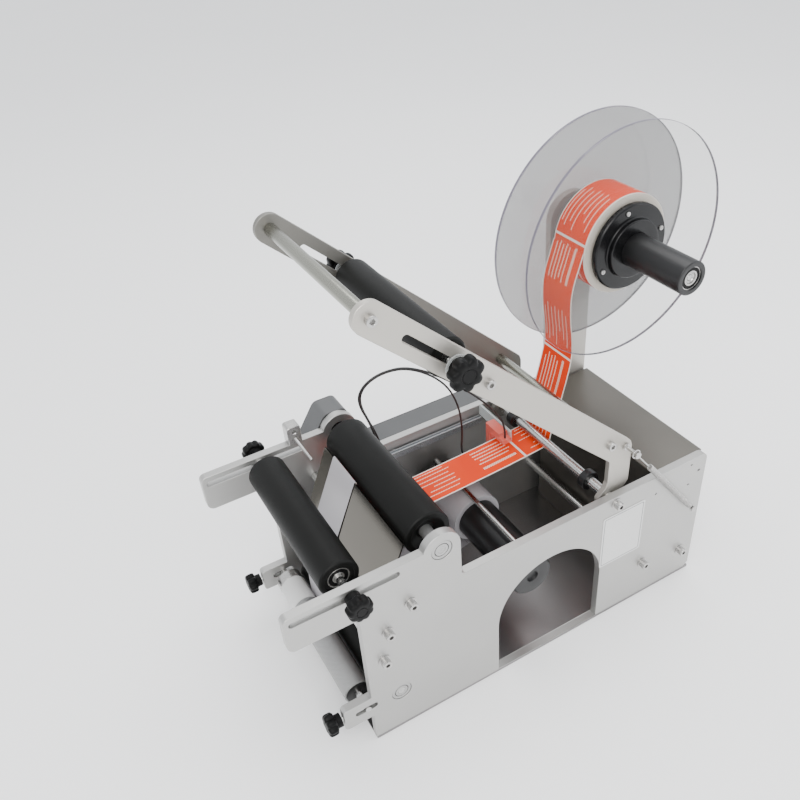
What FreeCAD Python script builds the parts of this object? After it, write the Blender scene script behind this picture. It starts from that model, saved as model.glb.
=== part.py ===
import FreeCAD, Part
import math
import os

# Bench-top round-bottle labelling machine.
# Working frame of this script: x = 0 at the front leg edge of the side plates (+x rearwards),
# y = 0 at the outer face of the near side plate (+y to the far side), z = 0 at the plates' foot.
# Every shape is moved by ORIGIN_SHIFT on export, so the part's own origin is the centre of
# the base plate's underside. All lengths in millimetres.

V = FreeCAD.Vector

# ---------------------------------------------------------------- driving dimensions
PLATE_LENGTH = 424.0          # foot length of the side plates
PLATE_TOP = 177.0             # height of the long top edge
PLATE_T = 9.0                 # side plate thickness
MACHINE_W = 220.0             # over both side plates
BASE_T = 3.0                  # base plate thickness
EAR_R = 20.0                  # round ear that carries the drive roller
ARM_TOP, ARM_BOTTOM, ARM_TIP = 227.0, 184.0, -68.0
LUG_TOP, LUG_BOTTOM, LUG_TIP = 66.0, 37.0, -31.0
ARCH_X0, ARCH_X1, ARCH_Z = 150.0, 283.0, 71.0
DRIVE = (88.3, 221.2)         # drive roller axis
DRIVE_R = 24.0
TRACTION = (33.0, 51.8)       # liner pull roller axis
TRACTION_R = 22.3
FRONT = (-3.5, 217.4)         # front support roller axis
FRONT_R = 20.0
PINCH = (-5.0, 52.8)          # knurled pinch roller axis
PINCH_R = 14.5
ARM_SLOT = (-62.8, 44.3, 217.4, 6.6)
LUG_SLOT = (-18.5, 5.8, 52.8, 7.0)
BARS = [(51.7, 174.0), (25.5, 149.5), (18.5, 113.0), (345.9, 50.7), (404.9, 37.6)]
BAR_R = 5.0
PIVOT = (296.5, 168.5)        # press arm pivot and web guide shaft
SHAFT_R = 6.0
REWIND = (203.0, 101.0)       # liner rewinder axis
REWIND_R = 24.0
WASTE_R = 30.0
MOTOR = (98.0, 52.0)
SPOOL = (389.0, 387.0)        # label reel axis
DISC_R = 125.0
ROLL_R = 53.0
CORE_R = 38.0
WEB_Y0, WEB_Y1 = 119.4, 167.4
WEB_T = 0.5
PRESS_FRONT = (47.5, 471.5)   # front bolt of the press arms
PRESS_REAR = (292.0, 240.0)   # rear cross bar of the press arms
PRESS_HALF = 14.0             # half the width of a press arm
PRESS_SLOT = ((75.5, 444.5), (131.0, 392.0), 7.0)
PRESS_NEAR = (117.5, 404.8)   # press roller axis at the near arm
PRESS_FAR = (117.5, 404.8)    # press roller axis at the far arm
PRESS_R = 18.5
BEARING_OD, BEARING_ID = 22.0, 8.0
LEAD_D = 2.2
ORIGIN_SHIFT = V(-212.0, -110.0, BASE_T)

Y0, Y1 = 0.0, MACHINE_W
YN = PLATE_T                  # inner face of the near plate
YF = MACHINE_W - PLATE_T      # inner face of the far plate

os.makedirs("parts", exist_ok=True)
NODES = []


# ---------------------------------------------------------------- helpers
def export(name, *shapes):
    solids = []
    for s in shapes:
        solids.extend(s.Solids)
    out = solids[0] if len(solids) == 1 else Part.makeCompound(solids)
    out = out.copy()
    out.translate(ORIGIN_SHIFT)
    bad = [i for i, s in enumerate(out.Solids) if not s.isValid() or s.Volume <= 0]
    b = out.BoundBox
    print("%-22s solids %2d vol %10.1f mm3 box %.1f %.1f %.1f to %.1f %.1f %.1f%s" % (
        name, len(out.Solids), out.Volume, b.XMin, b.YMin, b.ZMin, b.XMax, b.YMax, b.ZMax,
        "  INVALID" if bad else ""))
    out.exportStep("parts/%s.step" % name)
    NODES.append(name)


def box(x0, x1, y0, y1, z0, z1):
    return Part.makeBox(x1 - x0, y1 - y0, z1 - z0, V(x0, y0, z0))


def cyl(p, q, r):
    p, q = V(*p), V(*q)
    return Part.makeCylinder(r, (q - p).Length, p, q - p)


def cyl_y(c, r, y0, y1):
    return Part.makeCylinder(r, y1 - y0, V(c[0], y0, c[1]), V(0, 1, 0))


def ring_y(c, ro, ri, y0, y1):
    return cyl_y(c, ro, y0, y1).cut(cyl_y(c, ri, y0 - 1, y1 + 1))


def fuse(first, *rest):
    s = first
    for r in rest:
        s = s.fuse(r)
    return s.removeSplitter()


def outline(points):
    """Closed wire in the XZ plane from (x, z, corner radius) points."""
    n = len(points)
    starts, ends, mids = [], [], []
    for i in range(n):
        x, z, r = points[i]
        p = V(x, 0, z)
        a = V(points[i - 1][0], 0, points[i - 1][1]) - p
        b = V(points[(i + 1) % n][0], 0, points[(i + 1) % n][1]) - p
        a.normalize()
        b.normalize()
        if r <= 0:
            starts.append(p)
            ends.append(p)
            mids.append(None)
            continue
        half = a.getAngle(b) / 2.0
        t = r / math.tan(half)
        c = a + b
        c.normalize()
        c = p + c * (r / math.sin(half))
        inward = p - c
        inward.normalize()
        starts.append(p + a * t)
        ends.append(p + b * t)
        mids.append(c + inward * r)
    edges = []
    for i in range(n):
        if mids[i] is not None:
            edges.append(Part.Arc(starts[i], mids[i], ends[i]).toShape())
        j = (i + 1) % n
        if (ends[i] - starts[j]).Length > 1e-6:
            edges.append(Part.LineSegment(ends[i], starts[j]).toShape())
    return Part.Wire(edges)


def plate(points, y0, y1):
    f = Part.Face(outline(points))
    f.translate(V(0, y0, 0))
    s = f.extrude(V(0, y1 - y0, 0))
    return s


def slot_y(p, q, w, y0, y1):
    """Round-ended slot cutter between two XZ centres of its end arcs."""
    r = w / 2.0
    d = V(q[0] - p[0], 0, q[1] - p[1])
    n = V(-d.z, 0, d.x)
    n.normalize()
    pts = [V(p[0], y0, p[1]) + n * r, V(q[0], y0, q[1]) + n * r,
           V(q[0], y0, q[1]) - n * r, V(p[0], y0, p[1]) - n * r]
    f = Part.Face(Part.makePolygon(pts + [pts[0]]))
    s = f.extrude(V(0, y1 - y0, 0))
    return s.fuse(cyl_y(p, r, y0, y1)).fuse(cyl_y(q, r, y0, y1)).removeSplitter()


def place(shape, p, direction):
    """Put a shape built along +Z at p, with its Z along direction."""
    s = shape.copy()
    rot = FreeCAD.Rotation(V(0, 0, 1), V(*direction))
    s.Placement = FreeCAD.Placement(V(*p), rot).multiply(s.Placement)
    return s


def star_knob(r, head, skirt_r, skirt, bore, lobes):
    """Lobed grip on a round skirt, skirt foot at z = 0, with a blind bore."""
    grip = Part.makeCylinder(r, head, V(0, 0, skirt))
    grip = grip.makeChamfer(min(1.6, head * 0.2), grip.Edges)
    step = 2 * math.pi / lobes
    notch = r * 0.30
    for i in range(lobes):
        a = step * (i + 0.5)
        grip = grip.cut(Part.makeCylinder(notch, head + 2,
                                          V(math.cos(a) * (r + notch * 0.42), math.sin(a) * (r + notch * 0.42),
                                            skirt - 1)))
    s = grip.fuse(Part.makeCylinder(skirt_r, skirt + 1.0)).removeSplitter()
    return s.cut(Part.makeCylinder(bore, skirt + head * 0.55, V(0, 0, -0.5)))


def socket_head(c, y, out, r=4.75, length=11.0, hexr=2.3):
    """Cap screw head standing out from a plate face at y, out = -1 or +1."""
    head = Part.makeCylinder(r, length, V(c[0], y, c[1]), V(0, out, 0))
    hexa = [V(c[0] + hexr * math.cos(math.radians(60 * k)), y + out * (length - 4), c[1] +
              hexr * math.sin(math.radians(60 * k))) for k in range(7)]
    cut = Part.Face(Part.makePolygon(hexa)).extrude(V(0, out * 6, 0))
    return head.cut(cut)


def ribbon(points, t, y0, y1):
    """Thin web: XZ centre line points, thickness t, extruded along Y."""
    left, right = [], []
    n = len(points)
    for i in range(n):
        a = points[max(i - 1, 0)]
        b = points[min(i + 1, n - 1)]
        dx, dz = b[0] - a[0], b[1] - a[1]
        length = math.hypot(dx, dz)
        nx, nz = -dz / length, dx / length
        left.append(V(points[i][0] + nx * t / 2, y0, points[i][1] + nz * t / 2))
        right.append(V(points[i][0] - nx * t / 2, y0, points[i][1] - nz * t / 2))
    loop = left + right[::-1]
    return Part.Face(Part.makePolygon(loop + [loop[0]])).extrude(V(0, y1 - y0, 0))


def smooth(points, per=5):
    """Catmull-Rom points through the given XZ points."""
    out = []
    n = len(points)
    for i in range(n - 1):
        p0 = points[max(i - 1, 0)]
        p1, p2 = points[i], points[i + 1]
        p3 = points[min(i + 2, n - 1)]
        for k in range(per):
            u = k / float(per)
            out.append(tuple(0.5 * (2 * p1[j] + (p2[j] - p0[j]) * u +
                                    (2 * p0[j] - 5 * p1[j] + 4 * p2[j] - p3[j]) * u * u +
                                    (3 * p1[j] - p0[j] - 3 * p2[j] + p3[j]) * u ** 3) for j in (0, 1)))
    out.append(points[-1])
    return out


def arc_points(c, r, a0, a1, n):
    return [(c[0] + r * math.cos(math.radians(a0 + (a1 - a0) * k / n)),
             c[1] + r * math.sin(math.radians(a0 + (a1 - a0) * k / n))) for k in range(n + 1)]


def outer_tangent(c1, r1, c2, r2):
    """Tangent points of the line that keeps both circles on its left, going c1 to c2."""
    dx, dz = c2[0] - c1[0], c2[1] - c1[1]
    d = math.hypot(dx, dz)
    base = math.atan2(dz, dx)
    off = math.asin((r2 - r1) / d)
    a = base - math.pi / 2 - off * 1.0
    n = (math.cos(a), math.sin(a))
    return (c1[0] + r1 * n[0], c1[1] + r1 * n[1]), (c2[0] + r2 * n[0], c2[1] + r2 * n[1])


def belt_wire(circles, extra):
    """Closed wire round circles given counter-clockwise as (x, z, r)."""
    tan = []
    n = len(circles)
    for i in range(n):
        a, b = circles[i], circles[(i + 1) % n]
        tan.append(outer_tangent(a[:2], a[2] + extra, b[:2], b[2] + extra))
    edges = []
    for i in range(n):
        p, q = tan[i]
        nxt = tan[(i + 1) % n][0]
        c = circles[(i + 1) % n]
        r = c[2] + extra
        edges.append(Part.LineSegment(V(p[0], 0, p[1]), V(q[0], 0, q[1])).toShape())
        a0 = math.atan2(q[1] - c[1], q[0] - c[0])
        a1 = math.atan2(nxt[1] - c[1], nxt[0] - c[0])
        while a1 < a0:
            a1 += 2 * math.pi
        m = (a0 + a1) / 2
        edges.append(Part.Arc(V(q[0], 0, q[1]), V(c[0] + r * math.cos(m), 0, c[1] + r * math.sin(m)),
                              V(nxt[0], 0, nxt[1])).toShape())
    return Part.Wire(edges)


def cord(name, points, d):
    """Tube along straight runs joined by tangent arcs."""
    pts = [V(*p) for p in points]
    edges, radii, length = [], [], 0.0
    prev = pts[0]
    for i in range(1, len(pts) - 1):
        a = pts[i - 1] - pts[i]
        b = pts[i + 1] - pts[i]
        short = min(a.Length, b.Length)
        a.normalize()
        b.normalize()
        turn = math.pi - a.getAngle(b)
        t = 0.45 * short
        r = t / math.tan(turn / 2.0)
        bis = a + b
        bis.normalize()
        p1, p2 = pts[i] + a * t, pts[i] + b * t
        mid = pts[i] + bis * (r / math.cos(turn / 2.0) - r)
        edges.append(Part.LineSegment(prev, p1).toShape())
        edges.append(Part.Arc(p1, mid, p2).toShape())
        length += (p1 - prev).Length + r * turn
        radii.append(r)
        prev = p2
    edges.append(Part.LineSegment(prev, pts[-1]).toShape())
    length += (pts[-1] - prev).Length
    path = Part.Wire(edges)
    prof = Part.Wire(Part.makeCircle(d / 2.0, pts[0], pts[1] - pts[0]))
    tube = path.makePipeShell([prof], True, False)
    want = math.pi * d * d / 4.0 * length
    print("%s length %.1f mm, volume %.1f of %.1f, radii %s" % (
        name, length, tube.Volume, want, " ".join("%.1f" % r for r in radii)))
    return tube


# ---------------------------------------------------------------- side plates
def side_plate(y0, y1, arch):
    s = plate([(0, 0, 0), (PLATE_LENGTH - 6, 0, 0), (PLATE_LENGTH, 6, 0), (PLATE_LENGTH, PLATE_TOP, 8),
               (DRIVE[0] + EAR_R, PLATE_TOP, 4), (DRIVE[0] + EAR_R, DRIVE[1], 0),
               (DRIVE[0] - EAR_R + 1.5, DRIVE[1], 0), (DRIVE[0] - EAR_R + 1.5, ARM_TOP, 0), (ARM_TIP, ARM_TOP, 6),
               (ARM_TIP, ARM_BOTTOM, 8), (0, ARM_BOTTOM, 6), (0, LUG_TOP, 0), (LUG_TIP, LUG_TOP, 4),
               (LUG_TIP, LUG_BOTTOM, 4), (0, LUG_BOTTOM, 0)], y0, y1)
    s = fuse(s, cyl_y(DRIVE, EAR_R, y0, y1))
    a, b = y0 - 1, y1 + 1
    if arch:
        s = s.cut(box(ARCH_X0, ARCH_X1, a, b, -1, ARCH_Z))
        s = s.cut(cyl_y(((ARCH_X0 + ARCH_X1) / 2, ARCH_Z), (ARCH_X1 - ARCH_X0) / 2, a, b))
    for c in (DRIVE, TRACTION):
        s = s.cut(cyl_y(c, BEARING_OD / 2, a, b))
    for c in BARS + [PIVOT]:
        s = s.cut(cyl_y(c, 2.5, a, b))
    x0, x1, z, w = ARM_SLOT
    s = s.cut(slot_y((x0 + w / 2, z), (x1 - w / 2, z), w, a, b))
    x0, x1, z, w = LUG_SLOT
    s = s.cut(slot_y((x0 + w / 2, z), (x1 - w / 2, z), w, a, b))
    ym = (y0 + y1) / 2
    s = s.cut(cyl((LUG_TIP - 1, ym, z), (LUG_SLOT[0] + 3, ym, z), 2.55))
    return s


near = side_plate(0, YN, True)
for hx, hz in ((401.7, 168.8), (401.2, 140.9), (353.2, 152.0)):
    near = near.cut(cyl_y((hx, hz), 1.2, -1, YN + 1))
near = near.cut(slot_y((413.6, 155.6), (415.2, 155.6), 2.5, -1, YN + 1))
near = near.cut(cyl_y((405.7, 109.3), 2.0, -1, YN + 1))
export("side_plate_near", near)

far = side_plate(YF, Y1, False)
far = far.cut(cyl_y(MOTOR, 6.0, YF - 1, Y1 + 1))
far = far.cut(cyl_y(REWIND, BEARING_OD / 2, YF - 1, Y1 + 1))
far = far.cut(cyl_y((122.0, 150.0), 4.5, YF - 1, Y1 + 1))
for hx, hz in ((370.0, 110.0), (410.0, 110.0), (370.0, 160.0), (410.0, 160.0)):
    far = far.cut(cyl_y((hx, hz), 2.5, YF - 1, Y1 + 1))
export("side_plate_far", far)

export("base_plate", box(0, PLATE_LENGTH, 0, MACHINE_W, -BASE_T, 0))

# blank plate on the near side, where the machine carries its notice
export("notice_plate", box(281, 338, -0.6, 0, 80, 153))

# ---------------------------------------------------------------- bars and screws of the frame
bars = []
for c in BARS:
    s = cyl_y(c, BAR_R, YN, YF)
    s = s.cut(cyl_y(c, 2.5, YN - 1, YN + 14)).cut(cyl_y(c, 2.5, YF - 14, YF + 1))
    bars.append(s)
export("tie_bars", *bars)

shaft = cyl_y(PIVOT, SHAFT_R, YN, YF)
shaft = shaft.cut(cyl_y(PIVOT, 2.5, YN - 1, YN + 14)).cut(cyl_y(PIVOT, 2.5, YF - 14, YF + 1))
export("guide_shaft", shaft)
export("guide_collars", *[ring_y(PIVOT, 11.0, SHAFT_R, y, y + 9) for y in (40.5, 171.0)])

screws = []
for c in BARS + [PIVOT]:
    near_s = fuse(socket_head(c, -1.2, -1, length=7.0), cyl_y(c, 6.2, -1.2, 0), cyl_y(c, 2.5, -1.2, YN + 13))
    far_s = fuse(socket_head(c, Y1, 1, length=5.0, hexr=2.3), cyl_y(c, 2.5, YF - 13, Y1))
    screws += [near_s, far_s]
for hx, hz in ((370.0, 110.0), (410.0, 110.0), (370.0, 160.0), (410.0, 160.0)):
    screws.append(fuse(socket_head((hx, hz), Y1, 1, length=5.0), cyl_y((hx, hz), 2.5, YF - 8, Y1)))
POST = (405.7, 109.3)
screws.append(fuse(cyl_y(POST, 2.0, -10.0, YN - 1), cyl_y(POST, 3.6, -10.0, -8.8), cyl_y(POST, 3.2, -3.0, 0)))
export("plate_screws", *screws)

# ball bearings pressed into the plates
def bearing(c, y0, y1):
    s = ring_y(c, BEARING_OD / 2, BEARING_ID / 2, y0, y1)
    s = s.cut(ring_y(c, 9.0, 6.0, y0 - 1, y0 + 0.7)).cut(ring_y(c, 9.0, 6.0, y1 - 0.7, y1 + 1))
    return s


brgs = []
for c in (DRIVE, TRACTION):
    brgs.append(bearing(c, 0.8, 7.8))
    brgs.append(bearing(c, YF + 1, YF + 8))
brgs.append(bearing(REWIND, YF + 1, YF + 8))
export("plate_bearings", *brgs)

# ---------------------------------------------------------------- peel plate
peel = plate([(60.5, 226.0, 0), (34.0, 165.0, 0), (29.5, 154.0, 0), (31.0, 153.4, 0),
              (35.5, 164.4, 0), (61.6, 225.2, 0)], 22, 188)
export("peel_plate", peel)

# ---------------------------------------------------------------- rear cover and electrics
outer = box(353, PLATE_LENGTH - 0.2, YN + 0.3, 199.5, 0, 176.2)
inner = box(354.5, PLATE_LENGTH - 1.7, YN - 1, 201, -1, 174.7)
cover = outer.cut(inner)
cover = cover.cut(box(420, 426, 46.5, 73.5, 120.0, 140.0))
cover = cover.cut(box(420, 426, 103.5, 116.5, 120.5, 139.5))
export("rear_cover", cover)

inlet = box(402, 424.0, 46.8, 73.2, 120.3, 139.7)
inlet = inlet.fuse(box(423.8, 426.0, 42.0, 78.0, 118.0, 142.0)).removeSplitter()
inlet = inlet.cut(box(410, 427, 49.5, 70.5, 124.5, 137.5))
pins = [box(408, 424.5, y - 1.0, y + 1.0, 129.0, 133.0) for y in (53.0, 67.0)] + \
       [box(408, 425.0, 59.0, 61.0, 126.0, 130.0)]
for p in pins:
    inlet = inlet.fuse(p)
inlet = inlet.removeSplitter()

bez = box(404, 424.0, 103.8, 116.2, 120.8, 139.2)
bez = bez.fuse(box(423.8, 425.4, 102.0, 118.0, 119.0, 141.0)).removeSplitter()
bez = bez.cut(box(408, 427, 105.3, 114.7, 122.5, 137.5))
export("power_entry", inlet, bez)      # mains inlet and the switch frame beside it
rocker = cyl((420.0, 105.6, 130.0), (420.0, 114.4, 130.0), 7.0).common(box(419, 430, 100, 120, 120, 140))
export("power_switch", rocker)

psu = box(362, 416, 25, 125, 60, 96)
board = box(360, 418, 135, 195, 60, 61.6)
board = board.fuse(box(366, 384, 140, 156, 61.6, 76)).fuse(box(392, 412, 146, 190, 61.6, 70)).removeSplitter()
export("electronics", psu, board)      # power supply and control board

# ---------------------------------------------------------------- drive casing on the far side
casing_pts = [(8, 8, 5), (286, 8, 5), (286, 177, 5), (109, 177, 4), (109, 222, 6), (100, 241, 8), (76, 241, 8),
              (52, 205, 6), (8, 182, 5)]
casing_in = [(9.5, 9.5, 4), (284.5, 9.5, 4), (284.5, 175.5, 4), (107.5, 175.5, 4), (107.5, 221.7, 6), (99, 239.5, 7),
             (76.8, 239.5, 7), (53, 203.7, 6), (9.5, 181.1, 4)]
casing = plate(casing_pts, Y1, 250).cut(plate(casing_in, Y1 - 1, 248.5))
posts_xz = [(20, 20), (274, 20), (274, 165), (20, 170)]
for c in posts_xz:
    casing = casing.cut(cyl_y(c, 1.5, 245, 252))
export("drive_cover", casing)
cs = [cyl_y(c, 4, Y1, 248.5).cut(cyl_y(c, 1.5, 238, 249)) for c in posts_xz]
for c in posts_xz:
    head = Part.makeSphere(4.2, V(c[0], 248.3, c[1])).common(cyl_y(c, 3.4, 250, 253))
    cs.append(head.fuse(cyl_y(c, 1.5, 238.5, 250.1)).removeSplitter())
export("cover_screws", *cs)

# motor on the inner face of the far plate, belt and pulleys behind it
mot = box(MOTOR[0] - 28, MOTOR[0] + 28, 170, YF, MOTOR[1] - 28, MOTOR[1] + 28)
for sx in (-1, 1):
    for sz in (-1, 1):
        cx, cz = MOTOR[0] + sx * 28, MOTOR[1] + sz * 28
        mot = mot.cut(box(min(cx, cx - sx * 4), max(cx, cx - sx * 4), 169, YF - 5,
                          min(cz, cz - sz * 4), max(cz, cz - sz * 4)))
mot = mot.cut(cyl_y(MOTOR, 4.0, 190, YF + 1))
export("motor", mot)


def pulley(c, r, y_in, y_stub, bore=0.0):
    s = cyl_y(c, r, 227, 239)
    s = fuse(s, cyl_y(c, r + 2.2, 225.6, 227), cyl_y(c, r + 2.2, 239, 240.4))
    s = fuse(s, cyl_y(c, y_stub, y_in, 243))
    return s


# ---------------------------------------------------------------- drive roller and pull roller
dr = cyl_y(DRIVE, DRIVE_R, 25, 195)
dr = dr.makeChamfer(0.8, [e for e in dr.Edges if len(e.Vertexes) == 1])
cone = Part.makeCone(18.0, 9.0, 6.0, V(DRIVE[0], 25, DRIVE[1]), V(0, 1, 0))
dr = dr.cut(cone)
dr = fuse(dr, cyl_y(DRIVE, 6.5, 8.6, 32), cyl_y(DRIVE, 3.95, 0.9, 9), ring_y(DRIVE, 17.0, 6.0, 195, 199),
          cyl_y(DRIVE, 6.5, 195, YF + 0.4), cyl_y(DRIVE, 3.95, YF, Y1))
export("drive_roller", dr, pulley(DRIVE, 14.0, Y1, 3.95))

tr = cyl_y(TRACTION, TRACTION_R, 20, 200)
tr = tr.makeChamfer(0.8, [e for e in tr.Edges if len(e.Vertexes) == 1])
tr = fuse(tr, cyl_y(TRACTION, 6.5, 8.6, 20), cyl_y(TRACTION, 3.95, 0.9, 9),
          cyl_y(TRACTION, 6.5, 200, YF + 0.4), cyl_y(TRACTION, 3.95, YF, Y1))
export("traction_roller", tr, pulley(TRACTION, 13.0, Y1, 3.95))

export("motor_pulley", fuse(pulley(MOTOR, 10.0, YF, 3.95), cyl_y(MOTOR, 3.95, 190.3, YF)))



def belt(circles, y0, y1):
    fo = Part.Face(belt_wire(circles, 1.9)).extrude(V(0, y1 - y0, 0))
    fi = Part.Face(belt_wire(circles, 0.3)).extrude(V(0, y1 - y0, 0))
    s = fo.cut(fi)
    s.translate(V(0, y0, 0))
    return s


# toothed belt round the two driven rollers, and a second belt to the slipping rewinder
roller_belt = belt([(TRACTION[0], TRACTION[1], 13.0), (MOTOR[0], MOTOR[1], 10.0), (DRIVE[0], DRIVE[1], 14.0)],
                   227.4, 232.4)
rewind_belt = belt([(MOTOR[0], MOTOR[1], 10.0), (REWIND[0], REWIND[1], 12.0)], 233.6, 238.6)
export("timing_belt", roller_belt, rewind_belt)

# ---------------------------------------------------------------- liner rewinder
drum = cyl_y(REWIND, REWIND_R, 15, 205)
drum = drum.makeChamfer(1.5, [e for e in drum.Edges if len(e.Vertexes) == 1])
drum = fuse(drum, cyl_y(REWIND, 10.0, 205, YF - 0.4), cyl_y(REWIND, 3.95, YF - 0.5, Y1))
rod_dx, rod_dz = -5.0, 33.0
rl = math.hypot(rod_dx, rod_dz)
ux, uz = rod_dx / rl, rod_dz / rl
rx, rz = REWIND[0] + rod_dx, REWIND[1] + rod_dz
def drum_pt(r, y):
    return (REWIND[0] + ux * r, y, REWIND[1] + uz * r)


for y in (24.0, 200.0):
    drum = drum.cut(cyl(drum_pt(12, y), drum_pt(40, y), 3.0))
clip = cyl((rx, 24, rz), (rx, 200, rz), 3.0)
for y in (24.0, 200.0):
    clip = clip.fuse(Part.makeSphere(3.0, V(rx, y, rz)))
    clip = clip.fuse(cyl(drum_pt(12.5, y), drum_pt(rl, y), 3.0))
export("rewind_drum", drum, pulley(REWIND, 12.0, Y1, 3.95))
export("rewind_clip", clip.removeSplitter())

# ---------------------------------------------------------------- label web and bare liner
web_pts = smooth([(335.5, 391.0), (331.0, 376.5), (326.0, 360.0), (323.4, 342.0), (324.2, 318.0), (327.6, 292.0),
                  (328.0, 269.0), (323.4, 245.0), (317.5, 222.0), (310.2, 195.0), (304.2, 176.0)], 4)[:-1]
web_pts += arc_points(PIVOT, 6.9, 8, -88, 8)
web_pts += smooth([(290.0, 161.2), (250.0, 158.3), (200.0, 156.0), (152.0, 154.4), (105.0, 154.0), (76.0, 157.0),
                   (60.0, 163.0)], 5)
web_pts += arc_points(BARS[0], 5.75, 292, 172, 8)[1:]
web_pts += smooth([(49.0, 186.0), (55.6, 206.0), (61.4, 222.0), (62.4, 226.0)], 4)
export("label_web", ribbon(web_pts, WEB_T, WEB_Y0, WEB_Y1))

ln = (-0.917, 0.398)
off = 0.65
line_pts = [(62.0, 226.9), (60.9, 227.3), (60.5 + ln[0] * off, 226.0 + ln[1] * off),
            (47.2 + ln[0] * off, 195.5 + ln[1] * off), (34.0 + ln[0] * off, 165.0 + ln[1] * off + 0.4)]
line_pts += arc_points(BARS[1], 5.8, 118, 186, 6)
line_pts += arc_points(BARS[2], 5.8, 170, 182, 2)
line_pts += [(10.1, 75.0)]
line_pts += arc_points(TRACTION, 22.9, 180, 270, 14)
t1, t2 = outer_tangent(TRACTION, 22.9, REWIND, WASTE_R + 0.6)
line_pts += arc_points(TRACTION, 22.9, 274, math.degrees(math.atan2(t1[1] - TRACTION[1], t1[0] - TRACTION[0])) + 360, 3)
run = math.hypot(t2[0] - t1[0], t2[1] - t1[1])
tdx, tdz = (t2[0] - t1[0]) / run, (t2[1] - t1[1]) / run
def before_roll(d):
    return (t2[0] - tdx * d, t2[1] - tdz * d)


line_pts += [((t1[0] + t2[0]) / 2, (t1[1] + t2[1]) / 2), before_roll(21.2)]
export("liner_web", ribbon(line_pts, WEB_T, WEB_Y0, WEB_Y1))
# the last 20 mm of liner lie inside the circle swept by the clip and turn with the roll
export("waste_roll", ring_y(REWIND, WASTE_R, REWIND_R, WEB_Y0, WEB_Y1),
       ribbon([before_roll(20.6), before_roll(10.0), before_roll(0.0)], WEB_T, WEB_Y0, WEB_Y1))

# ---------------------------------------------------------------- sensor
rail = box(140, 266.5, 203, 209, 157, 165)
for x in (150, 250):
    rail = rail.fuse(cyl_y((x, 161), 3.0, 209, YF))
export("sensor_rail", rail.removeSplitter())
brk = box(266.5, 269.5, 146, 209, 165.5, 180)
fork = box(254.5, 266.5, 142, 177, 147, 179).cut(box(254, 267, 141, 169.5, 155, 168.5))
fork = fork.cut(box(254, 267, 141, 150, 174, 180))
export("label_sensor", fork, brk)

gland = fuse(cyl_y((124.5, 150.0), 8.0, 204, YF), cyl_y((124.5, 150.0), 6.0, 200, 204))
export("cable_gland", gland)
UPPER = [(122, 200, 150), (122, 190, 151), (122, 184.5, 162), (121.5, 185, 180), (120.5, 188, 200),
         (118.7, 191, 218.5), (114.3, 194.5, 236), (108.5, 194.5, 252), (106.5, 193, 268), (112, 190, 281),
         (123.5, 187.5, 289.5), (138, 184.5, 293.5), (156, 181, 293), (176, 173, 285.5), (196, 163, 272),
         (217, 155, 253), (235, 151, 233), (250, 150, 213), (260, 146, 193), (260, 146, 174)]
LOWER = [(127, 200, 150), (127, 190, 151), (127, 185, 162), (126.5, 186.5, 180), (125, 190.5, 199),
         (121.5, 194, 216), (116.5, 197.5, 232), (111.5, 198.5, 248.5), (110, 197, 264), (115, 194, 277),
         (126, 191, 285.5), (140, 188, 289.5), (157, 184.5, 289), (174, 177, 283), (190, 170, 271), (203, 168, 253),
         (212, 168, 230), (217, 169, 205), (218.5, 171, 180), (218, 173.5, 157), (222, 172.5, 141), (234, 165, 131),
         (246, 157, 125), (256.5, 152, 127), (261, 150, 137), (261, 150, 147)]
export("sensor_lead_upper", cord("sensor_lead_upper", UPPER, LEAD_D))
export("sensor_lead_lower", cord("sensor_lead_lower", LOWER, LEAD_D))

# ---------------------------------------------------------------- stop on the far plate's front arm
clampb = box(29, 44, 208, 222, ARM_TOP, 250)
clampb = clampb.cut(cyl((36.5, 206, 243), (36.5, 223, 243), 2.0))
export("stop_clamp", clampb, cyl((36.0, 207.7, 236.0), (41.2, 180.0, 223.0), 1.6))

# ---------------------------------------------------------------- label reel
brk_pts = [(360, 92, 6), (420, 92, 6), (420, 330, 0), (419, 387, 0), (359, 387, 0), (360, 330, 0)]
bracket = fuse(plate(brk_pts, 202, YF), cyl_y(SPOOL, 30, 202, YF))
bracket = bracket.cut(cyl_y(SPOOL, SHAFT_R, 200, 212))
for hx, hz in ((370.0, 110.0), (410.0, 110.0), (370.0, 160.0), (410.0, 160.0)):
    bracket = bracket.cut(cyl_y((hx, hz), 2.5, YF - 8, YF + 1))
export("spool_bracket", bracket)
hexn = [V(SPOOL[0] + 10 * math.cos(math.radians(60 * k)), YF, SPOOL[1] + 10 * math.sin(math.radians(60 * k)))
        for k in range(7)]
nut = Part.Face(Part.makePolygon(hexn)).extrude(V(0, 7, 0))
axle = fuse(cyl_y(SPOOL, SHAFT_R, 30, 219.5), cyl_y(SPOOL, 11, 196, 202), nut)
export("spool_axle", axle)

sleeve = cyl_y(SPOOL, 17.5, 27, 176).cut(cyl_y(SPOOL, 8.0, 26, 177))
sleeve = sleeve.cut(cyl_y(SPOOL, 12.0, 26, 36.5)).cut(cyl_y(SPOOL, 12.0, 167, 177))
export("reel_sleeve", sleeve)
sb = []
for y in (28.5, 167.0):
    s = ring_y(SPOOL, 12.0, SHAFT_R + 0.05, y, y + 8)
    s = s.cut(ring_y(SPOOL, 10.8, 7.6, y - 1, y + 0.8)).cut(ring_y(SPOOL, 10.8, 7.6, y + 7.2, y + 9))
    sb.append(s)
export("spool_bearings", *sb)
hub = fuse(ring_y(SPOOL, 46, 17.5, 110, 116), ring_y(SPOOL, 31, 17.5, 104, 110.5),
           ring_y(SPOOL, CORE_R - 0.3, CORE_R - 4.5, 115, 160))
scr_pts = [(SPOOL[0] + 39.3 * math.cos(math.radians(a)), SPOOL[1] + 39.3 * math.sin(math.radians(a)))
           for a in (205, 16, 103)]
hs = []
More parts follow.
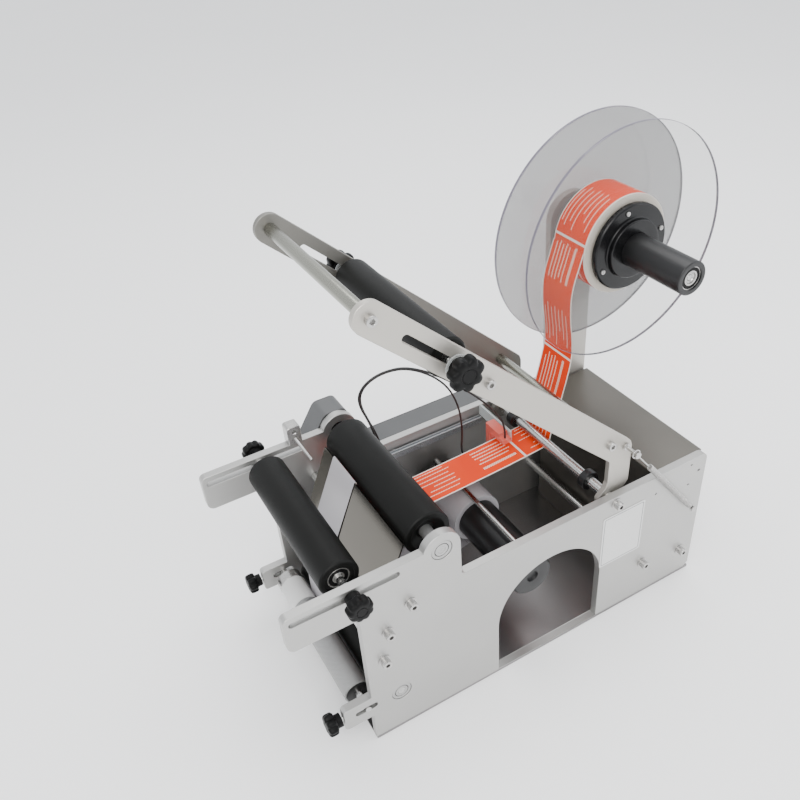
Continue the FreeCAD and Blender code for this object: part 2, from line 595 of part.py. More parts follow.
for c in scr_pts:
    hub = hub.cut(cyl_y(c, 1.5, 109, 113))
    hs.append(fuse(cyl_y(c, 2.4, 108.4, 110), cyl_y(c, 1.5, 109.5, 112.8)))
export("reel_hub", hub, *hs)
export("reel_disc_near", ring_y(SPOOL, DISC_R, CORE_R, 116, 119))
export("reel_disc_far", ring_y(SPOOL, DISC_R, 17.5, 168, 171))
export("label_roll", ring_y(SPOOL, ROLL_R, CORE_R + 3, 119.5, 167.5), ring_y(SPOOL, CORE_R + 3, CORE_R, 119.3, 167.7))

# ---------------------------------------------------------------- press arm
du = V(0.728, 0, -0.685)
du.normalize()
dn = V(-du.z, 0, du.x)
F = V(PRESS_FRONT[0], 0, PRESS_FRONT[1])
up = F + dn * PRESS_HALF
lo = F - dn * PRESS_HALF
PIN = (313.0, 229.0)


def press_plate(y0, y1):
    s = plate([(up.x, up.z, 0), (320.0, 233.0, 5), (322.0, 226.0, 2), (322.0, 180.0, 6), (309.0, 160.0, 4),
               (293.8, 160.0, 0), (293.8, 216.5, 6), (lo.x, lo.z, 0)], y0, y1)
    s = fuse(s, cyl_y(PRESS_FRONT, PRESS_HALF, y0, y1), cyl_y(PIVOT, 14.0, y0, y1))
    s = s.cut(cyl_y(PIVOT, SHAFT_R + 0.06, y0 - 1, y1 + 1))
    p, q, w = PRESS_SLOT
    s = s.cut(slot_y(p, q, w, y0 - 1, y1 + 1))
    for c in (PRESS_FRONT, PRESS_REAR):
        s = s.cut(cyl_y(c, 2.5, y0 - 1, y1 + 1))
    return s


pn = press_plate(12.5, 18.5)
pn = pn.cut(cyl_y((149.0, 374.0), 2.5, 11, 20)).cut(cyl_y(PIN, 2.0, 11, 20))
export("press_arm_near", pn)
pf = press_plate(201.5, 207.5)
export("press_arm_far", pf)
cbs = []
for c in (PRESS_FRONT, PRESS_REAR):
    cbs.append(cyl_y(c, 6.0, 18.5, 201.5).cut(cyl_y(c, 2.5, 17, 32)).cut(cyl_y(c, 2.5, 188, 203)))
export("press_crossbars", *cbs)
asc = []
for c in (PRESS_FRONT, PRESS_REAR):
    asc.append(fuse(socket_head(c, 12.5, -1, length=5.0), cyl_y(c, 2.5, 12.5, 31)))
    asc.append(fuse(socket_head(c, 207.5, 1, length=3.0, hexr=2.0).common(cyl_y(c, 6, 207.5, 211)),
                    cyl_y(c, 2.5, 189, 207.5)))
asc.append(fuse(socket_head((149.0, 374.0), 12.5, -1, r=4.5, length=5.0), cyl_y((149.0, 374.0), 2.5, 12.5, 18.5)))
asc.append(fuse(cyl_y(PIN, 3.6, -6.6, -5.4), cyl_y(PIN, 2.0, -5.4, 18.5), cyl_y(PIN, 4.0, 9.5, 12.5)))
export("arm_screws", *asc)

# press roller on its axle, clamped in the arm slots
pa = V(PRESS_NEAR[0], 15.5, PRESS_NEAR[1])
pb = V(PRESS_FAR[0], 204.5, PRESS_FAR[1])
ax = pb - pa
L_ax = ax.Length
ax.normalize()


def on_axle(s):
    p = pa + ax * s
    return (p.x, p.y, p.z)


def on_cyl(r, s0, s1):
    return cyl(on_axle(s0), on_axle(s1), r)


s_in0, s_in1 = 3.9, L_ax - 3.9
axle = fuse(on_cyl(3.0, -13.0, s_in0 + 1), on_cyl(4.0, s_in0, s_in1), on_cyl(3.0, s_in1 - 1, L_ax + 13.0))
export("press_axle", axle)
rol = on_cyl(PRESS_R, 9.0, L_ax - 9.0)
rol = rol.makeChamfer(0.8, [e for e in rol.Edges if len(e.Vertexes) == 1])
rol = rol.cut(on_cyl(4.08, 8, L_ax - 8)).cut(on_cyl(13.5, 8, 11)).cut(on_cyl(13.5, L_ax - 11, L_ax - 8))
export("press_roller", rol)
wash = []
for s0, s1 in ((-6.6, -5.0), (L_ax + 5.0, L_ax + 6.6)):
    wash.append(on_cyl(11.0, s0, s1).cut(on_cyl(3.0, s0 - 1, s1 + 1)))
export("knob_washers", *wash)
kn = star_knob(16.0, 11.0, 9.0, 6.0, 3.05, 7)
export("press_knob_near", place(kn, on_axle(-6.8), tuple(-ax)))
export("press_knob_far", place(kn, on_axle(L_ax + 6.8), tuple(ax)))

# ---------------------------------------------------------------- front roller
fax = fuse(cyl_y(FRONT, 4.0, YN + 0.2, YF - 0.2), cyl_y(FRONT, 3.0, -11.0, YN + 1), cyl_y(FRONT, 3.0, YF - 1, 231.0),
           ring_y(FRONT, 7.5, 3.5, YN + 0.2, YN + 2.2), ring_y(FRONT, 7.5, 3.5, YF - 2.2, YF - 0.2))
export("front_axle", fax)
fr = cyl_y(FRONT, FRONT_R, 24, 196)
fr = fr.makeChamfer(0.8, [e for e in fr.Edges if len(e.Vertexes) == 1])
fr = fr.cut(cyl_y(FRONT, 6.0, 23, 197)).cut(cyl_y(FRONT, 11.0, 23, 33)).cut(cyl_y(FRONT, 11.0, 187, 197))
fr = fr.cut(cyl_y(FRONT, 15.0, 23, 25.5)).cut(cyl_y(FRONT, 15.0, 194.5, 197))
export("front_roller", fr)
fb = []
for y in (26.0, 187.0):
    s = ring_y(FRONT, 11.0, 4.05, y, y + 7)
    s = s.cut(ring_y(FRONT, 9.0, 6.0, y - 1, y + 0.7)).cut(ring_y(FRONT, 9.0, 6.0, y + 6.3, y + 8))
    fb.append(s)
export("front_roller_bearings", *fb)
kf = star_knob(12.5, 11.0, 7.5, 9.0, 3.05, 7)
export("front_knob_near", place(kf, (FRONT[0], -0.3, FRONT[1]), (0, -1, 0)))
export("front_knob_far", place(kf, (FRONT[0], Y1 + 0.3, FRONT[1]), (0, 1, 0)))

# ---------------------------------------------------------------- pinch roller with its screws
pax = fuse(cyl_y(PINCH, 4.0, YN + 0.2, YF - 0.2), cyl_y(PINCH, 3.2, -1.0, YN + 1), cyl_y(PINCH, 3.2, YF - 1, 219.0))
export("pinch_axle", pax)
pr = cyl_y(PINCH, PINCH_R, 22, 198)
pr = pr.makeChamfer(0.8, [e for e in pr.Edges if len(e.Vertexes) == 1])
pr = pr.cut(cyl_y(PINCH, 4.08, 21, 199))
export("pinch_roller", pr)
kt = star_knob(11.5, 10.0, 7.0, 6.0, 2.0, 7)
for nm, y in (("tension_knob_near", YN / 2), ("tension_knob_far", Y1 - PLATE_T / 2)):
    knob = place(kt, (-33.0, y, PINCH[1]), (-1, 0, 0))
    knob = knob.fuse(cyl((-44.0, y, PINCH[1]), (PINCH[0] - 3.6, y, PINCH[1]), 2.5)).removeSplitter()
    export(nm, knob)

# ---------------------------------------------------------------- return spring
SPRING_Y = -6.5
HOOK_Y = -3.0
A = V(PIN[0], HOOK_Y, PIN[1])
B = V(POST[0], SPRING_Y, POST[1])
sd = A - B
SL = sd.Length
sd.normalize()


def sp(s):
    p = B + sd * s
    return (p.x, p.y, p.z)


coil = cyl(sp(6.0), sp(SL - 32.0), 3.5).cut(cyl(sp(8.0), sp(SL - 31.0), 2.2))
low = fuse(Part.makeTorus(3.0, 0.8, V(POST[0], SPRING_Y, POST[1]), V(0, 1, 0)), cyl(sp(3.2), sp(6.5), 0.8))
export("tension_spring", coil.fuse(low).removeSplitter())
hook = fuse(Part.makeTorus(4.4, 0.8, V(PIN[0], HOOK_Y, PIN[1]), V(0, 1, 0)), cyl(sp(SL - 4.4), sp(SL - 64.0), 0.8))
export("spring_hook", hook)

print("spring length at rest %.1f, direction %.4f %.4f %.4f" % (SL, sd.x, sd.y, sd.z))
print("press axle direction %.4f %.4f %.4f length %.2f" % (ax.x, ax.y, ax.z, L_ax))
print("nodes:", len(NODES))
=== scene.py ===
import bpy
import bmesh
import math
from mathutils import Matrix, Vector
from mathutils.geometry import tessellate_polygon


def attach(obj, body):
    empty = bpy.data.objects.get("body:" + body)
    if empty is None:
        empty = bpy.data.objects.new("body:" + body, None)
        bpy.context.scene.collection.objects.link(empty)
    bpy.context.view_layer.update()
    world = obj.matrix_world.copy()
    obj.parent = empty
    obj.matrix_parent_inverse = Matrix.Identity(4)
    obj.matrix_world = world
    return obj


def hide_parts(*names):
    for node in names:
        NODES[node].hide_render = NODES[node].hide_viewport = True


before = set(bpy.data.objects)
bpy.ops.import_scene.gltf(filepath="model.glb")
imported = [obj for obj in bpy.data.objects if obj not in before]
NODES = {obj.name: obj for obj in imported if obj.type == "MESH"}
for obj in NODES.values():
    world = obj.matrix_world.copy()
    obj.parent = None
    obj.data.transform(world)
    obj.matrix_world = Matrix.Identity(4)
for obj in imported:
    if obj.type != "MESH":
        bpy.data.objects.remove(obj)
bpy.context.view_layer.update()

# ------------------------------------------------------------------ working frame
# Lengths below are millimetres in the machine's working frame: x from the front leg edge,
# y from the near plate's outer face, z from the plates' foot. pt() gives metres in the row frame.
SX, SY, SZ = -212.0, -110.0, 3.0


def pt(x, y, z):
    return Vector(((x + SX) / 1000.0, (y + SY) / 1000.0, (z + SZ) / 1000.0))


# ------------------------------------------------------------------ camera
AZ, EL, ROLL = math.radians(-27.093), math.radians(36.272), math.radians(-4.69)
EYE = pt(-164.064, -453.413, 774.487)
back = Vector((math.sin(AZ) * math.cos(EL), -math.cos(AZ) * math.cos(EL), math.sin(EL)))
right = Vector((math.cos(AZ), math.sin(AZ), 0.0))
up = back.cross(right)
cx = right * math.cos(ROLL) + up * math.sin(ROLL)
cy = up * math.cos(ROLL) - right * math.sin(ROLL)
cam_data = bpy.data.cameras.new("camera")
cam = bpy.data.objects.new("camera", cam_data)
bpy.context.scene.collection.objects.link(cam)
cam.matrix_world = Matrix.Translation(EYE) @ Matrix((cx, cy, back)).transposed().to_4x4()
cam_data.sensor_width = 36.0
cam_data.lens = 828.217 * 36.0 / 800.0
cam_data.shift_x = -9.441 / 800.0
cam_data.shift_y = -2.043 / 800.0
cam_data.clip_start, cam_data.clip_end = 0.01, 20.0
bpy.context.scene.camera = cam


# ------------------------------------------------------------------ materials
def new_mat(name):
    m = bpy.data.materials.new(name)
    m.use_nodes = True
    nt = m.node_tree
    bsdf = nt.nodes["Principled BSDF"]
    return m, nt, bsdf


def lk(nt, a, b):
    nt.links.new(a, b)


def coords(nt, kind="Object", scale=(1, 1, 1), rot=(0, 0, 0)):
    tc = nt.nodes.new("ShaderNodeTexCoord")
    mp = nt.nodes.new("ShaderNodeMapping")
    mp.inputs["Scale"].default_value = scale
    mp.inputs["Rotation"].default_value = rot
    lk(nt, tc.outputs[kind], mp.inputs["Vector"])
    return mp.outputs["Vector"]


def noise(nt, vec, scale, detail=3.0, rough=0.55):
    n = nt.nodes.new("ShaderNodeTexNoise")
    n.inputs["Scale"].default_value = scale
    n.inputs["Detail"].default_value = detail
    n.inputs["Roughness"].default_value = rough
    lk(nt, vec, n.inputs["Vector"])
    return n.outputs["Fac"]


def ramp(nt, fac, stops):
    r = nt.nodes.new("ShaderNodeValToRGB")
    el = r.color_ramp.elements
    while len(el) < len(stops):
        el.new(0.5)
    for e, (p, c) in zip(el, stops):
        e.position = p
        e.color = (c[0], c[1], c[2], 1.0)
    lk(nt, fac, r.inputs["Fac"])
    return r.outputs["Color"]


def remap(nt, fac, lo, hi):
    m = nt.nodes.new("ShaderNodeMapRange")
    m.inputs["From Min"].default_value = 0.3
    m.inputs["From Max"].default_value = 0.7
    m.inputs["To Min"].default_value = lo
    m.inputs["To Max"].default_value = hi
    lk(nt, fac, m.inputs["Value"])
    return m.outputs["Result"]


def bump(nt, bsdf, height, strength, dist=0.0002):
    b = nt.nodes.new("ShaderNodeBump")
    b.inputs["Strength"].default_value = strength
    b.inputs["Distance"].default_value = dist
    lk(nt, height, b.inputs["Height"])
    lk(nt, b.outputs["Normal"], bsdf.inputs["Normal"])


def surface(name, base, metallic, rough, var=0.06, grain=1400, strength=0.25, stretch=(1, 1, 1), dist=0.0002,
            big=9.0, rough_var=0.06, spec=0.5, coat=0.0):
    """Base colour with slow cloudy variation, fine grain in roughness and bump."""
    m, nt, b = new_mat(name)
    vec = coords(nt)
    slow = noise(nt, vec, big, 4.0)
    dark = tuple(c * (1 - var) for c in base)
    light = tuple(min(1.0, c * (1 + var)) for c in base)
    lk(nt, ramp(nt, slow, [(0.35, dark), (0.65, light)]), b.inputs["Base Color"])
    fine_vec = coords(nt, scale=stretch)
    fine = noise(nt, fine_vec, grain, 2.0)
    lk(nt, remap(nt, fine, max(0.02, rough - rough_var), min(1.0, rough + rough_var)), b.inputs["Roughness"])
    b.inputs["Metallic"].default_value = metallic
    b.inputs["Specular IOR Level"].default_value = spec
    if coat:
        b.inputs["Coat Weight"].default_value = coat
        b.inputs["Coat Roughness"].default_value = 0.12
    bump(nt, b, fine, strength, dist)
    return m


ALU = surface("alu_blasted", (0.45, 0.446, 0.434), 0.92, 0.44, var=0.035, grain=2600, strength=0.10, big=5.0)
ALU_EDGE = surface("alu_edge", (0.54, 0.56, 0.58), 0.95, 0.30, var=0.03, grain=500, strength=0.08, stretch=(1, 8, 8))
ARM_ALU = surface("arm_alu", (0.47, 0.448, 0.41), 0.80, 0.46, var=0.03, grain=2400, strength=0.08, big=4.0)
# far press-arm plate: the same aluminium as the near plate with the base colour about halved, painted shade
ARM_PAINTED_SHADE_FAR = surface("arm_alu_far", (0.21, 0.204, 0.186), 0.80, 0.46, var=0.03, grain=2400, strength=0.08, big=4.0)
BAR_DARK = surface("bar_olive_steel", (0.27, 0.27, 0.235), 1.0, 0.26, var=0.06, grain=700, strength=0.10, stretch=(6, 1, 6))
RACE = surface("race_matt", (0.42, 0.418, 0.41), 0.85, 0.46, var=0.03, grain=1600, strength=0.08, big=40.0)
STEEL = surface("steel_turned", (0.50, 0.50, 0.49), 1.0, 0.24, var=0.05, grain=700, strength=0.10, stretch=(6, 1, 6))
SCREW = surface("screw_zinc", (0.47, 0.462, 0.45), 1.0, 0.30, var=0.08, grain=900, strength=0.12, big=60)
SHEET = surface("sheet_brushed", (0.25, 0.242, 0.243), 0.95, 0.30, var=0.03, grain=900, strength=0.06, stretch=(1, 30, 1))
MIRROR_SHEET = surface("sheet_polished", (0.105, 0.098, 0.085), 1.0, 0.18, var=0.02, grain=700, strength=0.03,
                       stretch=(1, 20, 1), rough_var=0.03)
DARK = surface("cover_dark", (0.085, 0.087, 0.089), 0.25, 0.42, var=0.10, grain=1700, strength=0.16, big=6.0)
COVER_TOP = surface("cover_steel_dark", (0.145, 0.137, 0.122), 0.85, 0.36, var=0.08, grain=1600, strength=0.08,
                    stretch=(1, 14, 1), big=5.0)
RUBBER = surface("rubber_black", (0.0035, 0.0036, 0.0032), 0.0, 0.52, var=0.20, grain=2200, strength=0.20, big=14.0,
                 spec=0.17)
PLASTIC = surface("plastic_black", (0.0022, 0.0022, 0.0022), 0.0, 0.42, var=0.15, grain=1500, strength=0.22, big=40.0,
                  spec=0.13)
ANOD = surface("anodised_black", (0.008, 0.008, 0.0085), 0.20, 0.36, var=0.15, grain=1300, strength=0.10,
               stretch=(1, 10, 1), big=20.0)
GLOSSBLK = surface("anodised_gloss", (0.004, 0.004, 0.0045), 0.10, 0.22, var=0.15, grain=700, strength=0.05, big=20.0,
                   spec=0.28)
JACKET = surface("lead_jacket", (0.012, 0.012, 0.012), 0.0, 0.40, var=0.10, grain=900, strength=0.10)
BLANK = surface("blank_sign", (0.62, 0.62, 0.61), 0.0, 0.32, var=0.02, grain=900, strength=0.03)
BLANK_LINE = surface("blank_sign_line", (0.16, 0.16, 0.17), 0.0, 0.40, var=0.05, grain=900, strength=0.03)
BOARD = surface("board_green", (0.03, 0.16, 0.07), 0.0, 0.45, var=0.15, grain=500, strength=0.2, big=60)
CARD = surface("core_card", (0.50, 0.38, 0.25), 0.0, 0.80, var=0.10, grain=900, strength=0.35, big=30)
LINER = surface("liner_paper", (0.36, 0.348, 0.365), 0.0, 0.35, var=0.03, grain=600, strength=0.06, big=12)
KNURL_WHITE = surface("roller_white", (0.58, 0.58, 0.57), 0.0, 0.45, var=0.04, grain=900, strength=0.12)


def knurl_mat():
    m, nt, b = new_mat("knurled_steel")
    b.inputs["Metallic"].default_value = 1.0
    h = None
    for sgn in (1, -1):
        v = coords(nt, "UV", scale=(1, sgn, 1))
        w = nt.nodes.new("ShaderNodeTexWave")
        w.wave_type = "BANDS"
        w.bands_direction = "DIAGONAL"
        w.inputs["Scale"].default_value = 9.0
        lk(nt, v, w.inputs["Vector"])
        if h is None:
            h = w.outputs["Fac"]
        else:
            mx = nt.nodes.new("ShaderNodeMath")
            mx.operation = "MULTIPLY"
            lk(nt, h, mx.inputs[0])
            lk(nt, w.outputs["Fac"], mx.inputs[1])
            h = mx.outputs["Value"]
    # knurl grooves painted darker than the ridges: painted shade in the grooves of the steel
    lk(nt, ramp(nt, h, [(0.0, (0.20, 0.20, 0.20)), (0.5, (0.52, 0.52, 0.51))]), b.inputs["Base Color"])
    lk(nt, remap(nt, h, 0.42, 0.26), b.inputs["Roughness"])
    bump(nt, b, h, 0.7, 0.0004)
    return m


KNURL = knurl_mat()


def clear_mat(name, base, alpha, rough=0.08, var=0.04, spec=0.5):
    m, nt, b = new_mat(name)
    vec = coords(nt)
    lk(nt, ramp(nt, noise(nt, vec, 8.0, 3.0), [(0.3, tuple(c * (1 - var) for c in base)), (0.7, base)]),
       b.inputs["Base Color"])
    lk(nt, remap(nt, noise(nt, vec, 40.0, 3.0), rough * 0.7, rough * 1.5), b.inputs["Roughness"])
    b.inputs["Alpha"].default_value = alpha
    b.inputs["IOR"].default_value = 1.55
    b.inputs["Specular IOR Level"].default_value = spec
    return m


CLEAR = clear_mat("disc_clear_far", (0.17, 0.171, 0.17), 0.50)
CLEAR_NEAR = clear_mat("disc_clear_near", (0.16, 0.16, 0.155), 0.10, spec=0.12)
CLEAR_RIM = clear_mat("disc_rim", (0.16, 0.145, 0.19), 0.75, 0.15)
CLEAR_PART = clear_mat("washer_clear", (0.50, 0.52, 0.52), 0.42, 0.10)
ACRYLIC = clear_mat("bracket_acrylic", (0.55, 0.60, 0.60), 0.55, 0.10)
RED_CLEAR = clear_mat("sensor_red", (0.80, 0.16, 0.12), 0.62, 0.15)


def label_mat(name):
    """Orange labels in a row along V (millimetres), white gaps and margins, plain pale bars."""
    m, nt, b = new_mat(name)
    tc = nt.nodes.new("ShaderNodeTexCoord")
    sep = nt.nodes.new("ShaderNodeSeparateXYZ")
    lk(nt, tc.outputs["UV"], sep.inputs[0])
    U, Vv = sep.outputs["X"], sep.outputs["Y"]

    def mth(op, a, bb=None, cc=None):
        n = nt.nodes.new("ShaderNodeMath")
        n.operation = op
        for i, s in enumerate((a, bb, cc)):
            if s is None:
                continue
            if isinstance(s, (int, float)):
                n.inputs[i].default_value = s
            else:
                lk(nt, s, n.inputs[i])
        return n.outputs[0]

    def inside(x, lo, hi):
        return mth("MULTIPLY", mth("GREATER_THAN", x, lo), mth("LESS_THAN", x, hi))

    pitch = 138.0
    v = mth("MULTIPLY", mth("FRACT", mth("DIVIDE", Vv, pitch)), pitch)
    lab = mth("MULTIPLY", inside(U, 1.3, 46.7), inside(v, 1.3, 136.7))
    ink = None
    bars = [(10.5, 14.0, 6, 50), (20.0, 21.6, 10, 50), (25.0, 26.6, 6, 46), (30.0, 31.6, 8, 50), (35.0, 36.6, 6, 50),
            (40.0, 41.6, 12, 50), (8.0, 9.2, 84, 126), (14.0, 15.2, 80, 118), (20.0, 21.2, 82, 110), (26.0, 27.2, 80, 130),
            (32.0, 33.2, 84, 122), (38.0, 39.2, 80, 128), (43.0, 44.2, 86, 124)]
    for u0, u1, v0, v1 in bars:
        one = mth("MULTIPLY", inside(U, u0, u1), inside(v, v0, v1))
        ink = one if ink is None else mth("MAXIMUM", ink, one)
    # short breaks along each bar, slanted across the label
    comb = mth("GREATER_THAN", mth("FRACT", mth("ADD", mth("MULTIPLY", v, 0.31), mth("MULTIPLY", U, 0.37))), 0.20)
    ink = mth("MULTIPLY", ink, comb)
    vec = coords(nt)
    cloud = noise(nt, vec, 7.0, 3.0)
    orange = ramp(nt, cloud, [(0.35, (0.66, 0.030, 0.0012)), (0.65, (0.72, 0.050, 0.0025))])
    mix1 = nt.nodes.new("ShaderNodeMix")
    mix1.data_type = "RGBA"
    lk(nt, ink, mix1.inputs["Factor"])
    lk(nt, orange, mix1.inputs["A"])
    mix1.inputs["B"].default_value = (0.80, 0.56, 0.44, 1)
    mix2 = nt.nodes.new("ShaderNodeMix")
    mix2.data_type = "RGBA"
    lk(nt, lab, mix2.inputs["Factor"])
    mix2.inputs["A"].default_value = (0.74, 0.68, 0.62, 1)
    lk(nt, mix1.outputs["Result"], mix2.inputs["B"])
    lk(nt, mix2.outputs["Result"], b.inputs["Base Color"])
    lk(nt, remap(nt, noise(nt, vec, 300.0, 2.0), 0.38, 0.48), b.inputs["Roughness"])
    b.inputs["Specular IOR Level"].default_value = 0.14
    bump(nt, b, mth("ADD", mth("MULTIPLY", lab, 1.0), mth("MULTIPLY", cloud, 0.3)), 0.35, 0.0001)
    return m


LABEL = label_mat("label_stock")


def layers_mat():
    """End face of the wound roll: fine rings of paper edges."""
    m, nt, b = new_mat("roll_edge")
    vec = coords(nt)
    w = nt.nodes.new("ShaderNodeTexWave")
    w.wave_type = "RINGS"
    w.rings_direction = "Y"
    w.inputs["Scale"].default_value = 260.0
    w.inputs["Distortion"].default_value = 0.6
    mp = nt.nodes.new("ShaderNodeMapping")
    c = pt(389.0, 0.0, 387.0)
    mp.inputs["Location"].default_value = (-c.x, 0.0, -c.z)
    lk(nt, vec, mp.inputs["Vector"])
    lk(nt, mp.outputs["Vector"], w.inputs["Vector"])
    lk(nt, ramp(nt, w.outputs["Fac"], [(0.2, (0.50, 0.45, 0.38)), (0.8, (0.68, 0.63, 0.55))]), b.inputs["Base Color"])
    b.inputs["Roughness"].default_value = 0.6
    bump(nt, b, w.outputs["Fac"], 0.3, 0.0002)
    return m


LAYERS = layers_mat()


# ------------------------------------------------------------------ mesh helpers
def finish_mesh(name, me, mat, body, node=None, angle=32, mats=None):
    me.validate()
    bm = bmesh.new()
    bm.from_mesh(me)
    bmesh.ops.remove_doubles(bm, verts=bm.verts, dist=1e-6)
    bmesh.ops.recalc_face_normals(bm, faces=bm.faces)
    bm.to_mesh(me)
    bm.free()
    me.shade_smooth()
    me.set_sharp_from_angle(angle=math.radians(angle))
    ob = bpy.data.objects.new(name, me)
    bpy.context.scene.collection.objects.link(ob)
    for mm in (mats or [mat]):
        me.materials.append(mm)
    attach(ob, body)
    if node:
        for n in ([node] if isinstance(node, str) else node):
            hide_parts(n)
    return ob


def raw_mesh(name, verts, faces):
    me = bpy.data.meshes.new(name)
    me.from_pydata([tuple(v) for v in verts], [], faces)
    return me


def merge(name, parts):
    """Join several (verts, faces) lists into one mesh."""
    vs, fs = [], []
    for v, f in parts:
        o = len(vs)
        vs.extend(v)
        fs.extend([tuple(i + o for i in face) for face in f])
    return raw_mesh(name, vs, fs)


def basis(d):
    d = Vector(d).normalized()
    a = Vector((0, 0, 1)) if abs(d.z) < 0.9 else Vector((1, 0, 0))
    u = d.cross(a).normalized()
    w = d.cross(u).normalized()
    return d, u, w


def rounded_profile(prof, r):
    """Round the corners of an open (s, r) profile."""
    out = [prof[0]]
    for i in range(1, len(prof) - 1):
        p0, p1, p2 = Vector(prof[i - 1]), Vector(prof[i]), Vector(prof[i + 1])
        a, b = p0 - p1, p2 - p1
        k = min(r, a.length * 0.45, b.length * 0.45)
        if k < 1e-4:
            out.append(tuple(p1))
            continue
        q0, q2 = p1 + a.normalized() * k, p1 + b.normalized() * k
        for t in (0.0, 0.33, 0.67, 1.0):
            q = q0 * (1 - t) ** 2 + p1 * 2 * t * (1 - t) + q2 * t * t
            out.append((q.x, q.y))
    out.append(prof[-1])
    return out


def lathe_data(p, d, prof, segs=64, r=0.4, lobes=None):
    """Revolve the (s, radius) profile about the line through p (mm) along d. Ends on the axis close it."""
    d, u, w = basis(d)
    o = Vector(p)
    if r:
        prof = rounded_profile(prof, r)
    verts, faces, rings = [], [], []
    for s, rad in prof:
        c = o + d * s
        if rad < 1e-6:
            rings.append([len(verts)])
            verts.append(pt(*c))
            continue
        ring = []
        for k in range(segs):
            a = 2 * math.pi * k / segs
            rr = rad * (lobes(a, rad) if lobes else 1.0)
            q = c + (u * math.cos(a) + w * math.sin(a)) * rr
            ring.append(len(verts))
            verts.append(pt(*q))
        rings.append(ring)
    closed = prof[0][1] > 1e-6 and prof[-1][1] > 1e-6 and abs(prof[0][0] - prof[-1][0]) < 1e-6 and \
        abs(prof[0][1] - prof[-1][1]) < 1e-6
    for i in range(len(rings) - 1):
        A, B = rings[i], rings[i + 1]
        if len(A) == 1 and len(B) == 1:
            continue
        for k in range(segs):
            k2 = (k + 1) % segs
            if len(A) == 1:
                faces.append((A[0], B[k2], B[k]))
            elif len(B) == 1:
                faces.append((A[k], A[k2], B[0]))
            else:
                faces.append((A[k], A[k2], B[k2], B[k]))
    return verts, faces


def rod_prof(s0, s1, r, ch=0.6):
    return [(s0, 0.0), (s0, r), (s1, r), (s1, 0.0)]


def tube_prof(s0, s1, ro, ri):
    return [(s0, (ro + ri) / 2), (s0, ro), (s1, ro), (s1, ri), (s0, ri), (s0, (ro + ri) / 2)]


def yrod(c, r, y0, y1, segs=64, rr=0.5):
    return lathe_data((c[0], y0, c[1]), (0, 1, 0), rod_prof(0, y1 - y0, r), segs, rr)


def ytube(c, ro, ri, y0, y1, segs=64, rr=0.4):
    return lathe_data((c[0], y0, c[1]), (0, 1, 0), tube_prof(0, y1 - y0, ro, ri), segs, rr)


def arc2(c, r, a0, a1, step=5.0):
    n = max(2, int(abs(a1 - a0) / step) + 1)
    return [(c[0] + r * math.cos(math.radians(a0 + (a1 - a0) * k / n)),
             c[1] + r * math.sin(math.radians(a0 + (a1 - a0) * k / n))) for k in range(n + 1)]


def circle(c, r, n=48):
    return [(c[0] + r * math.cos(2 * math.pi * k / n), c[1] + r * math.sin(2 * math.pi * k / n)) for k in range(n)]


def slot_loop(p, q, w, n=12):
    r = w / 2.0
    a = math.degrees(math.atan2(q[1] - p[1], q[0] - p[0]))
    return arc2(q, r, a - 90, a + 90, 180 / n) + arc2(p, r, a + 90, a + 270, 180 / n)


def soft_outline(points, step=9.0):
    """Loop of points from (a, b, corner radius) corners."""
    out = []
    n = len(points)
    for i in range(n):
        x, z, r = points[i]
        p = Vector((x, z))
        a = Vector(points[i - 1][:2]) - p
        b = Vector(points[(i + 1) % n][:2]) - p
        if r <= 0:
            out.append((x, z))
            continue
        a.normalize()
        b.normalize()
        half = a.angle(b) / 2
        t = r / math.tan(half)
        c = p + (a + b).normalized() * (r / math.sin(half))
        s, e = p + a * t - c, p + b * t - c
        a0, a1 = math.atan2(s.y, s.x), math.atan2(e.y, e.x)
        while a1 - a0 > math.pi:
            a1 -= 2 * math.pi
        while a1 - a0 < -math.pi:
            a1 += 2 * math.pi
        k = max(2, int(abs(math.degrees(a1 - a0)) / step) + 1)
        for j in range(k + 1):
            ang = a0 + (a1 - a0) * j / k
            out.append((c.x + r * math.cos(ang), c.y + r * math.sin(ang)))
    return out


def area2(loop):
    return 0.5 * sum(loop[i - 1][0] * loop[i][1] - loop[i][0] * loop[i - 1][1] for i in range(len(loop)))


def clean(loop):
    out = []
    for p in loop:
        if not out or (abs(p[0] - out[-1][0]) + abs(p[1] - out[-1][1])) > 1e-3:
            out.append(p)
    if abs(out[0][0] - out[-1][0]) + abs(out[0][1] - out[-1][1]) < 1e-3:
        out.pop()
    return out


def shifted(loop, d):
    n = len(loop)
    out = []
    for i in range(n):
        p0, p1, p2 = Vector(loop[i - 1]), Vector(loop[i]), Vector(loop[(i + 1) % n])
        a, b = (p1 - p0).normalized(), (p2 - p1).normalized()
        na, nb = Vector((-a.y, a.x)), Vector((-b.y, b.x))
        m = (na + nb)
        m = m.normalized() if m.length > 1e-6 else na
        q = p1 + m * (d / max(0.5, m.dot(na)))
        out.append((q.x, q.y))
    return out


